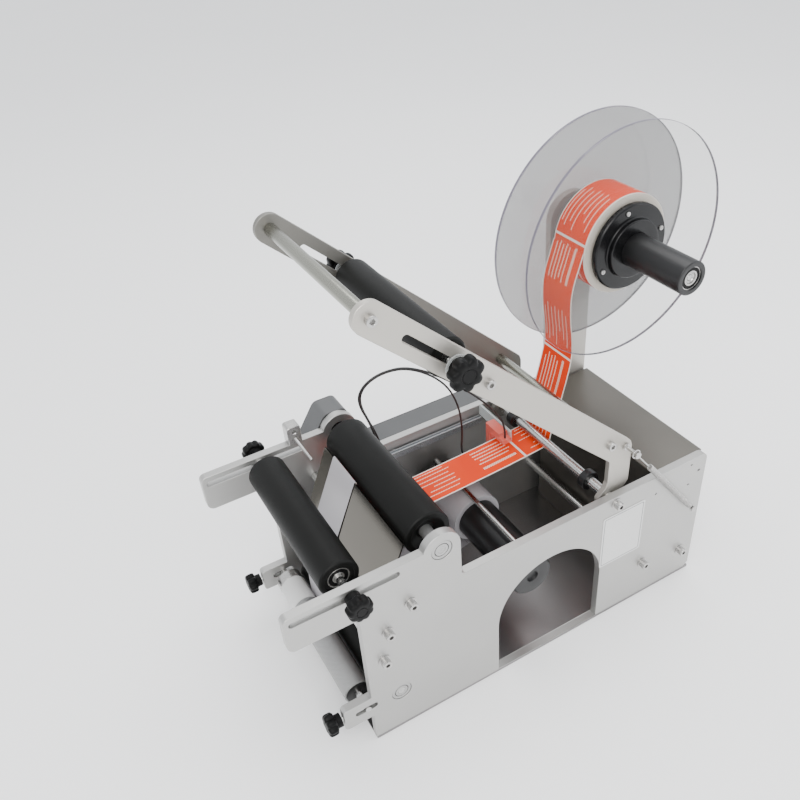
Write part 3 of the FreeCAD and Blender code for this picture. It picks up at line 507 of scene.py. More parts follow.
def plate_data(outer, holes, h0, h1, to3d, bev=0.4):
    """Plate with bevelled rims from a 2D outline and holes between heights h0 and h1."""
    outer = clean(outer)
    holes = [clean(h) for h in holes]
    if area2(outer) < 0:
        outer = outer[::-1]
    holes = [h if area2(h) < 0 else h[::-1] for h in holes]
    loops = [outer] + holes
    inner = [shifted(l, bev) for l in loops]
    verts, faces = [], []

    def put(ls, h):
        ids = []
        for l in ls:
            ids.append([len(verts) + i for i in range(len(l))])
            verts.extend(pt(*to3d(a, b, h)) for a, b in l)
        return ids

    lv = [put(inner, h0), put(loops, h0 + bev), put(loops, h1 - bev), put(inner, h1)]
    for a, b in zip(lv, lv[1:]):
        for la, lb in zip(a, b):
            n = len(la)
            for i in range(n):
                j = (i + 1) % n
                faces.append((la[i], la[j], lb[j], lb[i]))
    tris = tessellate_polygon([[Vector((p[0], p[1], 0)) for p in l] for l in inner])
    flat0 = [i for l in lv[0] for i in l]
    flat1 = [i for l in lv[3] for i in l]
    for t in tris:
        faces.append(tuple(flat0[i] for i in t)[::-1])
        faces.append(tuple(flat1[i] for i in t))
    return verts, faces


def xz(a, b, h):
    return (a, h, b)


def yz(a, b, h):
    return (h, a, b)


def xy(a, b, h):
    return (a, b, h)


def block_data(x0, x1, y0, y1, z0, z1, bev=0.5):
    return plate_data([(x0, y0), (x1, y0), (x1, y1), (x0, y1)], [], z0, z1, xy, bev)


def bent_data(path, t, y0, y1, uv=None):
    """Sheet of thickness t whose mid line is an XZ path, swept along Y."""
    n = len(path)
    L, R = [], []
    for i in range(n):
        a, b = Vector(path[max(i - 1, 0)]), Vector(path[min(i + 1, n - 1)])
        d = (b - a).normalized()
        nn = Vector((-d.y, d.x)) * (t / 2)
        L.append((path[i][0] + nn.x, path[i][1] + nn.y))
        R.append((path[i][0] - nn.x, path[i][1] - nn.y))
    verts, faces = [], []
    for y in (y0, y1):
        for p in L:
            verts.append(pt(p[0], y, p[1]))
        for p in R:
            verts.append(pt(p[0], y, p[1]))
    o = 2 * n
    for i in range(n - 1):
        faces.append((i, i + 1, o + i + 1, o + i))
        faces.append((n + i, o + n + i, o + n + i + 1, n + i + 1))
        faces.append((i, n + i, n + i + 1, i + 1))
        faces.append((o + i, o + i + 1, o + n + i + 1, o + n + i))
    faces.append((0, o, o + n, n))
    faces.append((n - 1, 2 * n - 1, o + 2 * n - 1, o + n - 1))
    return verts, faces


def sweep_data(points, r, segs=10, closed=False):
    """Round wire along mm points."""
    P = [Vector(p) for p in points]
    n = len(P)
    verts, faces = [], []
    up0 = None
    for i in range(n):
        a = P[i - 1] if (i > 0 or closed) else P[i]
        b = P[(i + 1) % n] if (i < n - 1 or closed) else P[i]
        d = (b - a).normalized()
        if up0 is None:
            _, up0, _ = basis(d)
        up0 = (up0 - d * up0.dot(d)).normalized()
        w = d.cross(up0)
        for k in range(segs):
            t = 2 * math.pi * k / segs
            verts.append(pt(*(P[i] + (up0 * math.cos(t) + w * math.sin(t)) * r)))
    m = n if closed else n - 1
    for i in range(m):
        j = (i + 1) % n
        for k in range(segs):
            k2 = (k + 1) % segs
            faces.append((i * segs + k, i * segs + k2, j * segs + k2, j * segs + k))
    if not closed:
        faces.append(tuple(range(segs))[::-1])
        faces.append(tuple((n - 1) * segs + k for k in range(segs)))
    return verts, faces


def cap_screw(p, d, r, h, hexr=None, depth=None, segs=36):
    """Cap screw head from its seat p along d, with a hexagon socket and a softened rim."""
    hexr = hexr or r * 0.52
    depth = depth or h * 0.55
    dd, u, w = basis(d)
    o = Vector(p)
    verts, faces, rings = [], [], []

    def ring(s, rad, hexa=False):
        ids = []
        for k in range(segs):
            a = 2 * math.pi * k / segs
            rr = rad
            if hexa:
                m = (a % (math.pi / 3)) - math.pi / 6
                rr = rad * math.cos(math.pi / 6) / math.cos(m)
            ids.append(len(verts))
            verts.append(pt(*(o + dd * s + (u * math.cos(a) + w * math.sin(a)) * rr)))
        rings.append(ids)

    c = min(0.5, r * 0.12)
    ring(0, r)
    ring(h - c, r)
    ring(h - c * 0.35, r - c * 0.35)
    ring(h, r - c)
    ring(h, hexr * 1.12)
    ring(h - 0.35, hexr, True)
    ring(h - depth, hexr, True)
    for A, B in zip(rings, rings[1:]):
        for k in range(segs):
            k2 = (k + 1) % segs
            faces.append((A[k], A[k2], B[k2], B[k]))
    faces.append(tuple(rings[0])[::-1])
    faces.append(tuple(rings[-1]))
    return verts, faces


def star_data(p, d, R, head, skirt_r, skirt, lobes=7, turn=0.0, deep=0.20):
    """Moulded star grip: rounded lobes, dished cap with a centre button, round skirt."""
    n = lobes * 14
    dd, u, w = basis(d)
    o = Vector(p)

    def lob(a, k):
        c = 0.5 - 0.5 * math.cos(lobes * (a + turn))
        return 1.0 - deep * k * (c ** 1.6)

    rows = [(0.0, 0.0, 0), (0.0, skirt_r, 0), (skirt - 0.6, skirt_r, 0), (skirt, skirt_r + 0.5, 0),
            (skirt, R * 0.78, 0.9), (skirt + 0.25, R * 0.90, 1.0), (skirt + 1.1, R * 0.975, 1.0),
            (skirt + 2.4, R, 1.0), (skirt + head * 0.62, R, 1.0), (skirt + head * 0.82, R * 0.965, 1.0),
            (skirt + head * 0.93, R * 0.88, 1.0), (skirt + head * 0.985, R * 0.76, 0.9), (skirt + head, R * 0.62, 0.6),
            (skirt + head * 0.985, R * 0.46, 0.0), (skirt + head * 0.94, R * 0.43, 0), (skirt + head * 0.94, R * 0.39, 0),
            (skirt + head * 0.985, R * 0.36, 0), (skirt + head * 0.985, 0.0, 0)]
    verts, faces, rings = [], [], []
    for s, rad, k in rows:
        c = o + dd * s
        if rad < 1e-6:
            rings.append([len(verts)])
            verts.append(pt(*c))
            continue
        ids = []
        for i in range(n):
            a = 2 * math.pi * i / n
            ids.append(len(verts))
            verts.append(pt(*(c + (u * math.cos(a) + w * math.sin(a)) * (rad * lob(a, k)))))
        rings.append(ids)
    for A, B in zip(rings, rings[1:]):
        for k in range(n):
            k2 = (k + 1) % n
            if len(A) == 1:
                faces.append((A[0], B[k2], B[k]))
            elif len(B) == 1:
                faces.append((A[k], A[k2], B[0]))
            else:
                faces.append((A[k], A[k2], B[k2], B[k]))
    return verts, faces


def bearing_data(c, y0, y1, ro, ri, out=-1):
    """Shielded ball bearing: outer race, recessed shield, inner race."""
    m1, m2 = ro - (ro - ri) * 0.24, ri + (ro - ri) * 0.24
    L = y1 - y0
    prof = [(0.3, (m1 + m2) / 2), (0.3, m1), (0.0, m1), (0.0, ro), (L, ro), (L, m1), (L - 0.3, m1), (L - 0.3, m2),
            (L, m2), (L, ri), (0.0, ri), (0.0, m2), (0.3, m2), (0.3, (m1 + m2) / 2)]
    return lathe_data((c[0], y0, c[1]), (0, 1, 0), prof, 56, 0.12)


def race_rings(c, y0, y1, ro, ri, t=0.16):
    k = (ro - ri) * t
    return [ytube(c, ro, ro - k, y0, y1, 56, 0.12), ytube(c, ri + k * 1.6, ri, y0, y1, 56, 0.12)]


def race_shield(c, y0, y1, ro, ri, t=0.16):
    k = (ro - ri) * t
    return [ytube(c, ro - k, ri + k * 1.6, y0 + 0.35, y1 - 0.35, 56, 0.05)]


def piece(name, data, mat, body, node=None, angle=32):
    parts = data if isinstance(data, list) else [data]
    return finish_mesh(name, merge(name, parts), mat, body, node, angle)


# ------------------------------------------------------------------ main sizes of the machine
PLATE_LENGTH, PLATE_TOP, PLATE_T, W = 424.0, 177.0, 9.0, 220.0
YN, YF = 9.0, 211.0
DRIVE, TRACTION, FRONT, PINCH = (88.3, 221.2), (33.0, 51.8), (-3.5, 217.4), (-5.0, 52.8)
BARS = [(51.7, 174.0), (25.5, 149.5), (18.5, 113.0), (345.9, 50.7), (404.9, 37.6)]
PIVOT, REWIND, MOTOR, SPOOL = (296.5, 168.5), (203.0, 101.0), (98.0, 52.0), (389.0, 387.0)
PRESS_FRONT, PRESS_REAR = (47.5, 471.5), (292.0, 240.0)
PIN, POST = (313.0, 229.0), (405.7, 109.3)
WY0, WY1 = 119.4, 167.4

# ------------------------------------------------------------------ thin leads from the gland to the label sensor
UPPER = [(122, 200, 150), (122, 190, 151), (122, 184.5, 162), (121.5, 185, 180), (120.5, 188, 200),
         (118.7, 191, 218.5), (114.3, 194.5, 236), (108.5, 194.5, 252), (106.5, 193, 268), (112, 190, 281),
         (123.5, 187.5, 289.5), (138, 184.5, 293.5), (156, 181, 293), (176, 173, 285.5), (196, 163, 272),
         (217, 155, 253), (235, 151, 233), (250, 150, 213), (260, 146, 193), (260, 146, 174)]
LOWER = [(127, 200, 150), (127, 190, 151), (127, 185, 162), (126.5, 186.5, 180), (125, 190.5, 199),
         (121.5, 194, 216), (116.5, 197.5, 232), (111.5, 198.5, 248.5), (110, 197, 264), (115, 194, 277),
         (126, 191, 285.5), (140, 188, 289.5), (157, 184.5, 289), (174, 177, 283), (190, 170, 271), (203, 168, 253),
         (212, 168, 230), (217, 169, 205), (218.5, 171, 180), (218, 173.5, 157), (222, 172.5, 141), (234, 165, 131),
         (246, 157, 125), (256.5, 152, 127), (261, 150, 137), (261, 150, 147)]


def lead(name, route, node):
    cu = bpy.data.curves.new(name, "CURVE")
    cu.dimensions = "3D"
    sp = cu.splines.new("NURBS")
    sp.points.add(len(route) - 1)
    for p, q in zip(sp.points, route):
        v = pt(*q)
        p.co = (v.x, v.y, v.z, 1.0)
    sp.order_u = 3
    sp.use_endpoint_u = True
    cu.resolution_u = 10
    cu.bevel_depth = 0.0011
    cu.bevel_resolution = 5
    cu.use_fill_caps = True
    ob = bpy.data.objects.new(name, cu)
    bpy.context.scene.collection.objects.link(ob)
    cu.materials.append(JACKET)
    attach(ob, "frame")
    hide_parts(node)
    return ob


lead("lead_upper", UPPER, "sensor_lead_upper")
lead("lead_lower", LOWER, "sensor_lead_lower")

# ------------------------------------------------------------------ side plates
plate_outline = soft_outline([(0, 0, 0.8), (418, 0, 1), (424, 6, 1), (424, 177, 8), (108.3, 177, 4), (108.3, 221.2, 0)])
plate_outline = plate_outline[:-1] + arc2(DRIVE, 20.0, 0, 163.2, 5.0)
plate_outline += soft_outline([(70, 227, 0), (-68, 227, 6), (-68, 184, 8), (0, 184, 6), (0, 66, 0.8), (-31, 66, 4),
                               (-31, 37, 4), (0, 37, 0.8), (0, 0, 0)])[1:-1]


def plate_holes(arch):
    hs = [circle(DRIVE, 11.0), circle(TRACTION, 11.0)]
    hs += [circle(c, 2.5, 24) for c in BARS + [PIVOT]]
    hs.append(slot_loop((-59.5, 217.4), (41.0, 217.4), 6.6))
    hs.append(slot_loop((-15.0, 52.8), (2.3, 52.8), 7.0))
    if arch:
        hs += [circle((401.7, 168.8), 1.2, 16), circle((401.2, 140.9), 1.2, 16), circle((353.2, 152.0), 1.2, 16),
               slot_loop((413.6, 155.6), (415.2, 155.6), 2.5)]
    return hs


arch_cut = [(283.0, 0.0)] + arc2((216.5, 71.0), 66.5, 0, 180, 4.0) + [(150.0, 0.0)]
near_outline = [(0.0, 0.0)] + arch_cut[::-1] + plate_outline[1:]
piece("side_plate_near_shell", plate_data(near_outline, plate_holes(True), 0.0, YN, xz, 0.45), ALU, "frame",
      "side_plate_near")
far_holes = plate_holes(False) + [circle(REWIND, 11.0), circle(MOTOR, 6.0)]
piece("side_plate_far_shell", plate_data(plate_outline, far_holes, YF, W, xz, 0.45), ALU, "frame", "side_plate_far")

# notice place: bare white plate with a thin rim line
piece("notice_blank", plate_data(soft_outline([(281, 80, 2.5), (338, 80, 2.5), (338, 153, 2.5), (281, 153, 2.5)]), [],
                                 -0.5, -0.02, xz, 0.1), BLANK, "frame", "notice_plate")
piece("notice_rim", plate_data(soft_outline([(283, 82, 2), (336, 82, 2), (336, 151, 2), (283, 151, 2)]),
                               [soft_outline([(283.8, 82.8, 1.5), (335.2, 82.8, 1.5), (335.2, 150.2, 1.5),
                                              (283.8, 150.2, 1.5)])], -0.58, -0.4, xz, 0.05), BLANK_LINE, "frame", None)

# ------------------------------------------------------------------ bars, screws, bearings
piece("tie_bars_turned", [yrod(c, 5.0, YN, YF, 40) for c in BARS], STEEL, "frame", "tie_bars")
piece("guide_shaft_ground", [yrod(PIVOT, 6.0, YN, YF, 48)], STEEL, "frame", "guide_shaft")
col = []
for y in (40.5, 171.0):
    col.append(ytube(PIVOT, 11.0, 6.02, y, y + 9, 56, 0.7))
    col.append(cap_screw((PIVOT[0], y + 4.5, PIVOT[1] + 9.0), (0, 0, 1), 2.0, 1.9, 1.1, 1.2, 24))
piece("guide_collars_black", col, ANOD, "frame", "guide_collars")

scr = []
for c in BARS + [PIVOT]:
    scr.append(lathe_data((c[0], 0.0, c[1]), (0, -1, 0), rod_prof(0, 1.2, 6.2), 40, 0.25))
    scr.append(cap_screw((c[0], -1.2, c[1]), (0, -1, 0), 4.75, 7.0, 2.5, 4.0))
    scr.append(cap_screw((c[0], W, c[1]), (0, 1, 0), 4.75, 5.0, 2.5, 2.6))
for hx, hz in ((370.0, 110.0), (410.0, 110.0), (370.0, 160.0), (410.0, 160.0)):
    scr.append(cap_screw((hx, W, hz), (0, 1, 0), 4.75, 5.0, 2.5, 2.6))
scr.append(lathe_data((POST[0], 0.0, POST[1]), (0, -1, 0),
                      [(0, 0), (0, 3.2), (3.0, 3.2), (3.0, 2.0), (8.8, 2.0), (8.8, 3.6), (10.0, 3.6), (10.0, 0)], 32, 0.25))
piece("plate_screws_cap", scr, SCREW, "frame", "plate_screws")

brg, shields_and_gap_shade = [], []
for c in (DRIVE, TRACTION):
    brg += [ytube(c, 10.56, 7.6, 0.8, 7.8, 64, 0.15), ytube(c, 6.8, 4.02, 0.8, 7.8, 56, 0.15)]
    # thin black rings recessed at the plate-hole rim and between the two races: painted shade in these gaps
    shields_and_gap_shade += [ytube(c, 10.98, 10.56, 1.4, 7.8, 64, 0.05), ytube(c, 7.6, 6.8, 1.3, 7.3, 56, 0.05)]
# far-plate bearings: real recessed shields
for c in (DRIVE, TRACTION, REWIND):
    brg += race_rings(c, YF + 1, YF + 8, 10.98, 4.02)
    shields_and_gap_shade += race_shield(c, YF + 1, YF + 8, 10.98, 4.02)
piece("plate_bearings_race", brg, RACE, "frame", "plate_bearings")
# one mesh for the real far-side shields and the painted gap-shade rings of the near plate
piece("plate_bearings_shield_and_gap_shade", shields_and_gap_shade, PLASTIC, "frame", None)

# ------------------------------------------------------------------ peel plate
peel_path = [(61.0, 225.6)] + [(35.0 + 26.0 * t, 165.0 + 60.6 * t) for t in (0.75, 0.5, 0.25, 0.06)] + \
            [(34.6, 163.7), (34.0, 162.2), (30.5, 154.0)]
piece("peel_sheet", bent_data(peel_path, 1.45, 22, 188), MIRROR_SHEET, "frame", "peel_plate", 20)

# ------------------------------------------------------------------ rear cover
cov_path = [(353.75, 0.3), (353.75, 172.5)] + [(355.75 + 2.0 * math.cos(math.radians(a)),
                                                 173.45 + 2.0 * math.sin(math.radians(a))) for a in
                                                range(180, 89, -15)] + \
           [(421.0, 175.45)] + [(421.05 + 2.0 * math.cos(math.radians(a)), 173.45 + 2.0 * math.sin(math.radians(a)))
                                for a in range(90, -1, -15)] + [(423.05, 0.3)]
cov_top = [p for p in cov_path[:-1]] + [(423.05, 160.0)]
piece("rear_cover_bent", bent_data(cov_top, 1.45, 9.4, 199.4), COVER_TOP, "frame", "rear_cover", 25)
rear_holes = [soft_outline([(46.6, 120.1, 1), (73.4, 120.1, 1), (73.4, 139.9, 1), (46.6, 139.9, 1)]),
              soft_outline([(103.6, 120.6, 1), (116.4, 120.6, 1), (116.4, 139.4, 1), (103.6, 139.4, 1)])]
for k in range(6):
    rear_holes.append(slot_loop((140.0, 60.0 + 9 * k), (182.0, 60.0 + 9 * k), 3.0, 8))
piece("rear_cover_wall", plate_data([(9.4, 0.3), (199.4, 0.3), (199.4, 160.0), (9.4, 160.0)], rear_holes, 422.33,
                                    423.77, yz, 0.15), COVER_TOP, "frame", None)

# ------------------------------------------------------------------ casing over the belt drive
case_out = soft_outline([(8, 8, 5), (286, 8, 5), (286, 177, 5), (109, 177, 4), (109, 222, 6), (100, 241, 8),
                         (76, 241, 8), (52, 205, 6), (8, 182, 5)], 12)
case_in = soft_outline([(9.5, 9.5, 4), (284.5, 9.5, 4), (284.5, 175.5, 4), (107.5, 175.5, 4), (107.5, 221.7, 6),
                        (99, 239.5, 7), (76.8, 239.5, 7), (53, 203.7, 6), (9.5, 181.1, 4)], 12)
piece("drive_cover_rim", plate_data(case_out, [case_in], 220.0, 247.9, xz, 0.12), DARK, "frame", "drive_cover")
piece("drive_cover_face", plate_data(case_out, [circle(c, 1.55, 16) for c in ((20, 20), (274, 20), (274, 165), (20, 170))],
                                     247.9, 250.0, xz, 0.9), DARK, "frame", None)

# ------------------------------------------------------------------ web, liner, roll
def cr(points, per=5):
    out = []
    n = len(points)
    for i in range(n - 1):
        p0 = points[max(i - 1, 0)]
        p1, p2 = points[i], points[i + 1]
        p3 = points[min(i + 2, n - 1)]
        for k in range(per):
            u = k / float(per)
            out.append(tuple(0.5 * (2 * p1[j] + (p2[j] - p0[j]) * u +
                                    (2 * p0[j] - 5 * p1[j] + 4 * p2[j] - p3[j]) * u * u +
                                    (3 * p1[j] - p0[j] - 3 * p2[j] + p3[j]) * u ** 3) for j in (0, 1)))
    out.append(points[-1])
    return out


def arcn(c, r, a0, a1, n):
    return [(c[0] + r * math.cos(math.radians(a0 + (a1 - a0) * k / n)),
             c[1] + r * math.sin(math.radians(a0 + (a1 - a0) * k / n))) for k in range(n + 1)]


def tangent(c1, r1, c2, r2):
    dx, dz = c2[0] - c1[0], c2[1] - c1[1]
    a = math.atan2(dz, dx) - math.pi / 2 - math.asin((r2 - r1) / math.hypot(dx, dz))
    n = (math.cos(a), math.sin(a))
    return (c1[0] + r1 * n[0], c1[1] + r1 * n[1]), (c2[0] + r2 * n[0], c2[1] + r2 * n[1])


def paper(name, path, t, v0, mat, node, body="frame"):
    """Paper band with UVs in millimetres: U across from the near edge, V along the path."""
    n = len(path)
    verts, faces = bent_data(path, t, WY0, WY1)
    me = raw_mesh(name, verts, faces)
    dist = [v0]
    for i in range(1, n):
        dist.append(dist[-1] + math.hypot(path[i][0] - path[i - 1][0], path[i][1] - path[i - 1][1]))
    uvl = me.uv_layers.new(name="UVMap")
    for poly in me.polygons:
        for li in poly.loop_indices:
            vi = me.loops[li].vertex_index
            row, i = divmod(vi, n)
            y = WY0 if row < 2 else WY1
            uvl.data[li].uv = (y - WY0, dist[i])
    return finish_mesh(name, me, mat, body, node, 60)


web = cr([(335.5, 391.0), (331.0, 376.5), (326.0, 360.0), (323.4, 342.0), (324.2, 318.0), (327.6, 292.0),
          (328.0, 269.0), (323.4, 245.0), (317.5, 222.0), (310.2, 195.0), (304.2, 176.0)], 6)[:-1]
web += arcn(PIVOT, 6.9, 8, -88, 8)
web += cr([(290.0, 161.2), (250.0, 158.3), (200.0, 156.0), (152.0, 154.4), (105.0, 154.0), (76.0, 157.0),
           (60.0, 163.0)], 6)
web += arcn(BARS[0], 5.75, 292, 172, 10)[1:]
web += cr([(49.0, 186.0), (55.6, 206.0), (61.4, 222.0), (62.4, 226.0)], 5)
paper("label_web_printed", web, 0.32, 12.0, LABEL, "label_web")

ln, off = (-0.917, 0.398), 0.65
line = [(62.0, 226.9), (60.9, 227.3), (60.5 + ln[0] * off, 226.0 + ln[1] * off),
        (47.2 + ln[0] * off, 195.5 + ln[1] * off), (34.0 + ln[0] * off, 165.0 + ln[1] * off + 0.4)]
line += arcn(BARS[1], 5.8, 118, 186, 6) + arcn(BARS[2], 5.8, 170, 182, 2) + [(10.1, 75.0)]
line += arcn(TRACTION, 22.9, 180, 270, 14)
t1, t2 = tangent(TRACTION, 22.9, REWIND, 30.6)
line += arcn(TRACTION, 22.9, 274, math.degrees(math.atan2(t1[1] - TRACTION[1], t1[0] - TRACTION[0])) + 360, 3)
run = math.hypot(t2[0] - t1[0], t2[1] - t1[1])
tdx, tdz = (t2[0] - t1[0]) / run, (t2[1] - t1[1]) / run


def before_roll(d):
    return (t2[0] - tdx * d, t2[1] - tdz * d)


line += [((t1[0] + t2[0]) / 2, (t1[1] + t2[1]) / 2), before_roll(21.2)]
paper("liner_bare", line, 0.30, 0.0, LINER, "liner_web")


def roll_face():
    """Outer wrap of the roll with the labels, and the paper edges on both sides."""
    segs = 128
    verts, faces = [], []
    c = SPOOL
    rows = [(WY0, 52.6), (WY0 + 0.2, 53.0), (WY1 - 0.2, 53.0), (WY1, 52.6)]
    for y, r in rows:
        for k in range(segs):
            a = 2 * math.pi * k / segs
            verts.append(pt(c[0] + r * math.cos(a), y, c[1] + r * math.sin(a)))
    for j in range(len(rows) - 1):
        for k in range(segs):
            k2 = (k + 1) % segs
            faces.append((j * segs + k, j * segs + k2, (j + 1) * segs + k2, (j + 1) * segs + k))
    for y, r in ((WY0, 51.9), (WY1, 51.9)):
        for k in range(segs):
            a = 2 * math.pi * k / segs
            verts.append(pt(c[0] + r * math.cos(a), y, c[1] + r * math.sin(a)))
    b0, b1 = 4 * segs, 5 * segs
    for k in range(segs):
        k2 = (k + 1) % segs
        faces.append((b0 + k, b0 + k2, k2, k))
        faces.append((3 * segs + k, 3 * segs + k2, b1 + k2, b1 + k))
        faces.append((b1 + k, b1 + k2, b0 + k2, b0 + k))
    me = raw_mesh("label_roll_wrap", verts, faces)
    uvl = me.uv_layers.new(name="UVMap")
    for poly in me.polygons:
        ks = [me.loops[li].vertex_index % segs for li in poly.loop_indices]
        wrap = max(ks) - min(ks) > segs / 2
        for li, k in zip(poly.loop_indices, ks):
            if wrap and k == 0:
                k = segs
            a = 2 * math.pi * k / segs
            y = me.vertices[me.loops[li].vertex_index].co.y * 1000.0 - SY
            uvl.data[li].uv = (y - WY0, 12.0 + 53.0 * (a - math.pi))
    return finish_mesh("label_roll_wrap", me, LABEL, "reel", "label_roll", 60)


roll_face()
piece("label_roll_sides", [ytube(SPOOL, 52.5, 41.0, WY0 - 0.08, WY1 + 0.08, 96, 0.15)], LAYERS, "reel", None)
piece("roll_core_card", [ytube(SPOOL, 40.98, 38.02, 119.35, 167.65, 96, 0.2)], CARD, "reel", None)

# ------------------------------------------------------------------ reel
for nm, y, m, ri in (("near", 116.0, CLEAR_NEAR, 38.0), ("far", 168.0, CLEAR, 17.6)):
    piece("reel_disc_%s_sheet" % nm, [ytube(SPOOL, 124.55, ri, y, y + 3.0, 160, 0.3)], m, "reel", "reel_disc_" + nm)
    piece("reel_disc_%s_edge" % nm, [ytube(SPOOL, 125.0, 124.55, y, y + 3.0, 160, 0.15)], CLEAR_RIM, "reel", None)
hub_prof = [(6, 17.6), (0.0, 17.6), (0.0, 30.2), (0.8, 31.0), (5.0, 31.0), (6.0, 32.0), (6.0, 44.6), (7.4, 46.0),
            (12.0, 46.0), (12.0, 37.7), (56.0, 37.7), (56.0, 33.5), (12.0, 33.5), (12.0, 17.6), (6, 17.6)]
hub = [lathe_data((SPOOL[0], 104.0, SPOOL[1]), (0, 1, 0), hub_prof, 96, 0.5)]
piece("reel_hub_flange", hub, GLOSSBLK, "reel", "reel_hub")
hs = []
for a in (205, 16, 103):
    q = (SPOOL[0] + 39.3 * math.cos(math.radians(a)), SPOOL[1] + 39.3 * math.sin(math.radians(a)))
    hs.append(cap_screw((q[0], 110.0, q[1]), (0, -1, 0), 2.4, 1.6, 1.2, 0.9, 24))
piece("reel_hub_screws", hs, SCREW, "reel", None)
slv = [(0.0, 14.6), (0.0, 16.7), (0.8, 17.5), (149.0, 17.5), (149.0, 12.05), (140.0, 12.05), (140.0, 8.0), (9.5, 8.0),
       (9.5, 12.05), (0.0, 12.05), (0.0, 14.6)]
piece("reel_sleeve_black", [lathe_data((SPOOL[0], 27.0, SPOOL[1]), (0, 1, 0), slv, 72, 0.35)], ANOD, "reel",
      "reel_sleeve")
piece("spool_bearings_race", race_rings(SPOOL, 28.5, 36.4, 12.0, 6.1) + race_rings(SPOOL, 167.0, 174.9, 12.0, 6.1),
      SCREW, "reel", "spool_bearings")
piece("spool_bearings_shield", race_shield(SPOOL, 28.5, 36.4, 12.0, 6.1) + race_shield(SPOOL, 167.0, 174.9, 12.0, 6.1),
      PLASTIC, "reel", None)
ax_prof = [(0, 0), (0, 2.6), (1.2, 3.2), (1.2, 4.6), (0, 5.2), (0, 6.0), (166, 6.0), (166, 11.0), (172, 11.0),
           (172, 6.0), (189.5, 6.0), (189.5, 0)]
hexn = [(SPOOL[0] + 10 * math.cos(math.radians(60 * k)), SPOOL[1] + 10 * math.sin(math.radians(60 * k)))
        for k in range(6)]
piece("spool_axle_turned", [lathe_data((SPOOL[0], 30.0, SPOOL[1]), (0, 1, 0), ax_prof, 56, 0.4),
                            plate_data(hexn, [circle(SPOOL, 6.1, 32)], YF + 0.02, YF + 7.0, xz, 0.5)], STEEL, "frame",
      "spool_axle")
br_out = soft_outline([(360, 92, 6), (420, 92, 6), (420, 330, 0)]) + \
    [(419.0, 387.0)] + arc2(SPOOL, 30.0, 0, 180, 4)[1:-1] + [(359.0, 387.0), (360.0, 330.0)]
piece("spool_bracket_plate", plate_data(br_out, [circle(SPOOL, 6.05, 32)], 202.0, YF, xz, 0.45), ARM_ALU, "frame",
      "spool_bracket")

# ------------------------------------------------------------------ press arm
du = Vector((0.728, -0.685)).normalized()
dn = Vector((-du.y, du.x))
ang = math.degrees(math.atan2(dn.y, dn.x))
lo_p = Vector(PRESS_FRONT) - dn * 14.0
arm_out = arc2(PRESS_FRONT, 14.0, ang + 180, ang, 6)
arm_out += soft_outline([(100, 442, 0), (320.0, 233.0, 5), (322.0, 226.0, 2), (322.0, 180.0, 6), (309.5, 163.0, 3),
                         (100, 100, 0)], 9)[1:-1]
arm_out += arc2(PIVOT, 14.0, -25, -195, 6)
arm_out += soft_outline([(283, 150, 0), (291.5, 182.0, 4), (293.8, 188, 1), (293.8, 216.5, 6), (100, 395.0, 0)], 9)[1:-1]
arm_holes = [slot_loop((75.5, 444.5), (131.0, 392.0), 7.0), circle(PIVOT, 6.1, 40), circle(PRESS_FRONT, 2.5, 24),
             circle(PRESS_REAR, 2.5, 24)]
# the far arm plate gets the darker copy of the arm aluminium, painted shade on the far plate
for nm, y0, y1 in (("near", 12.5, 18.5), ("far", 201.5, 207.5)):
    piece("press_arm_%s_plate" % nm, plate_data(arm_out, arm_holes, y0, y1, xz, 0.4),
          ARM_ALU if nm == "near" else ARM_PAINTED_SHADE_FAR, "press_arm",
          "press_arm_" + nm)
piece("press_crossbars_turned", [yrod(c, 6.0, 18.5, 201.5, 48, 0.6) for c in (PRESS_FRONT, PRESS_REAR)], BAR_DARK,
      "press_arm", "press_crossbars")
asc = []
for c in (PRESS_FRONT, PRESS_REAR):
    asc.append(cap_screw((c[0], 12.5, c[1]), (0, -1, 0), 4.75, 5.0, 2.5, 2.8))
    asc.append(cap_screw((c[0], 207.5, c[1]), (0, 1, 0), 4.75, 3.0, 2.3, 2.0))
asc.append(cap_screw((149.0, 12.5, 374.0), (0, -1, 0), 4.5, 5.0, 2.4, 3.0))
asc.append(lathe_data((PIN[0], 12.5, PIN[1]), (0, -1, 0), [(0, 0), (0, 4.0), (3.0, 4.0), (3.0, 2.0), (17.9, 2.0),
                                                           (17.9, 3.6), (19.1, 3.6), (19.1, 0)], 36, 0.25))
piece("arm_screws_cap", asc, SCREW, "press_arm", "arm_screws")

pa, pb = Vector((117.5, 15.5, 404.8)), Vector((117.5, 204.5, 404.8))
axv = pb - pa
L_ax = axv.length
axv.normalize()


def on(s):
    return tuple(pa + axv * s)


piece("press_axle_stud", [lathe_data(on(0), axv, [(-13, 0), (-13, 3.0), (3.9, 3.0), (3.9, 4.0), (L_ax - 3.9, 4.0),
                                                  (L_ax - 3.9, 3.0), (L_ax + 13, 3.0), (L_ax + 13, 0)], 40, 0.3)],
      STEEL, "press_carriage", "press_axle")
piece("knob_washers_clear", [lathe_data(on(0), axv, [(s, 7.0), (s, 11.0), (s + 1.6, 11.0), (s + 1.6, 3.05),
                                                     (s, 3.05), (s, 7.0)], 48, 0.3) for s in (-6.6, L_ax + 5.0)],
      CLEAR_PART, "press_carriage", "knob_washers")
pr_prof = [(9.0, 14.0), (9.0, 17.1), (10.4, 18.5), (L_ax - 10.4, 18.5), (L_ax - 9.0, 17.1), (L_ax - 9.0, 13.5),
           (L_ax - 11.0, 13.5), (L_ax - 11.0, 4.1), (11.0, 4.1), (11.0, 13.5), (9.0, 13.5), (9.0, 14.0)]
piece("press_roller_rubber", [lathe_data(on(0), axv, pr_prof, 72, 0.5)], RUBBER, "press_roller", "press_roller")
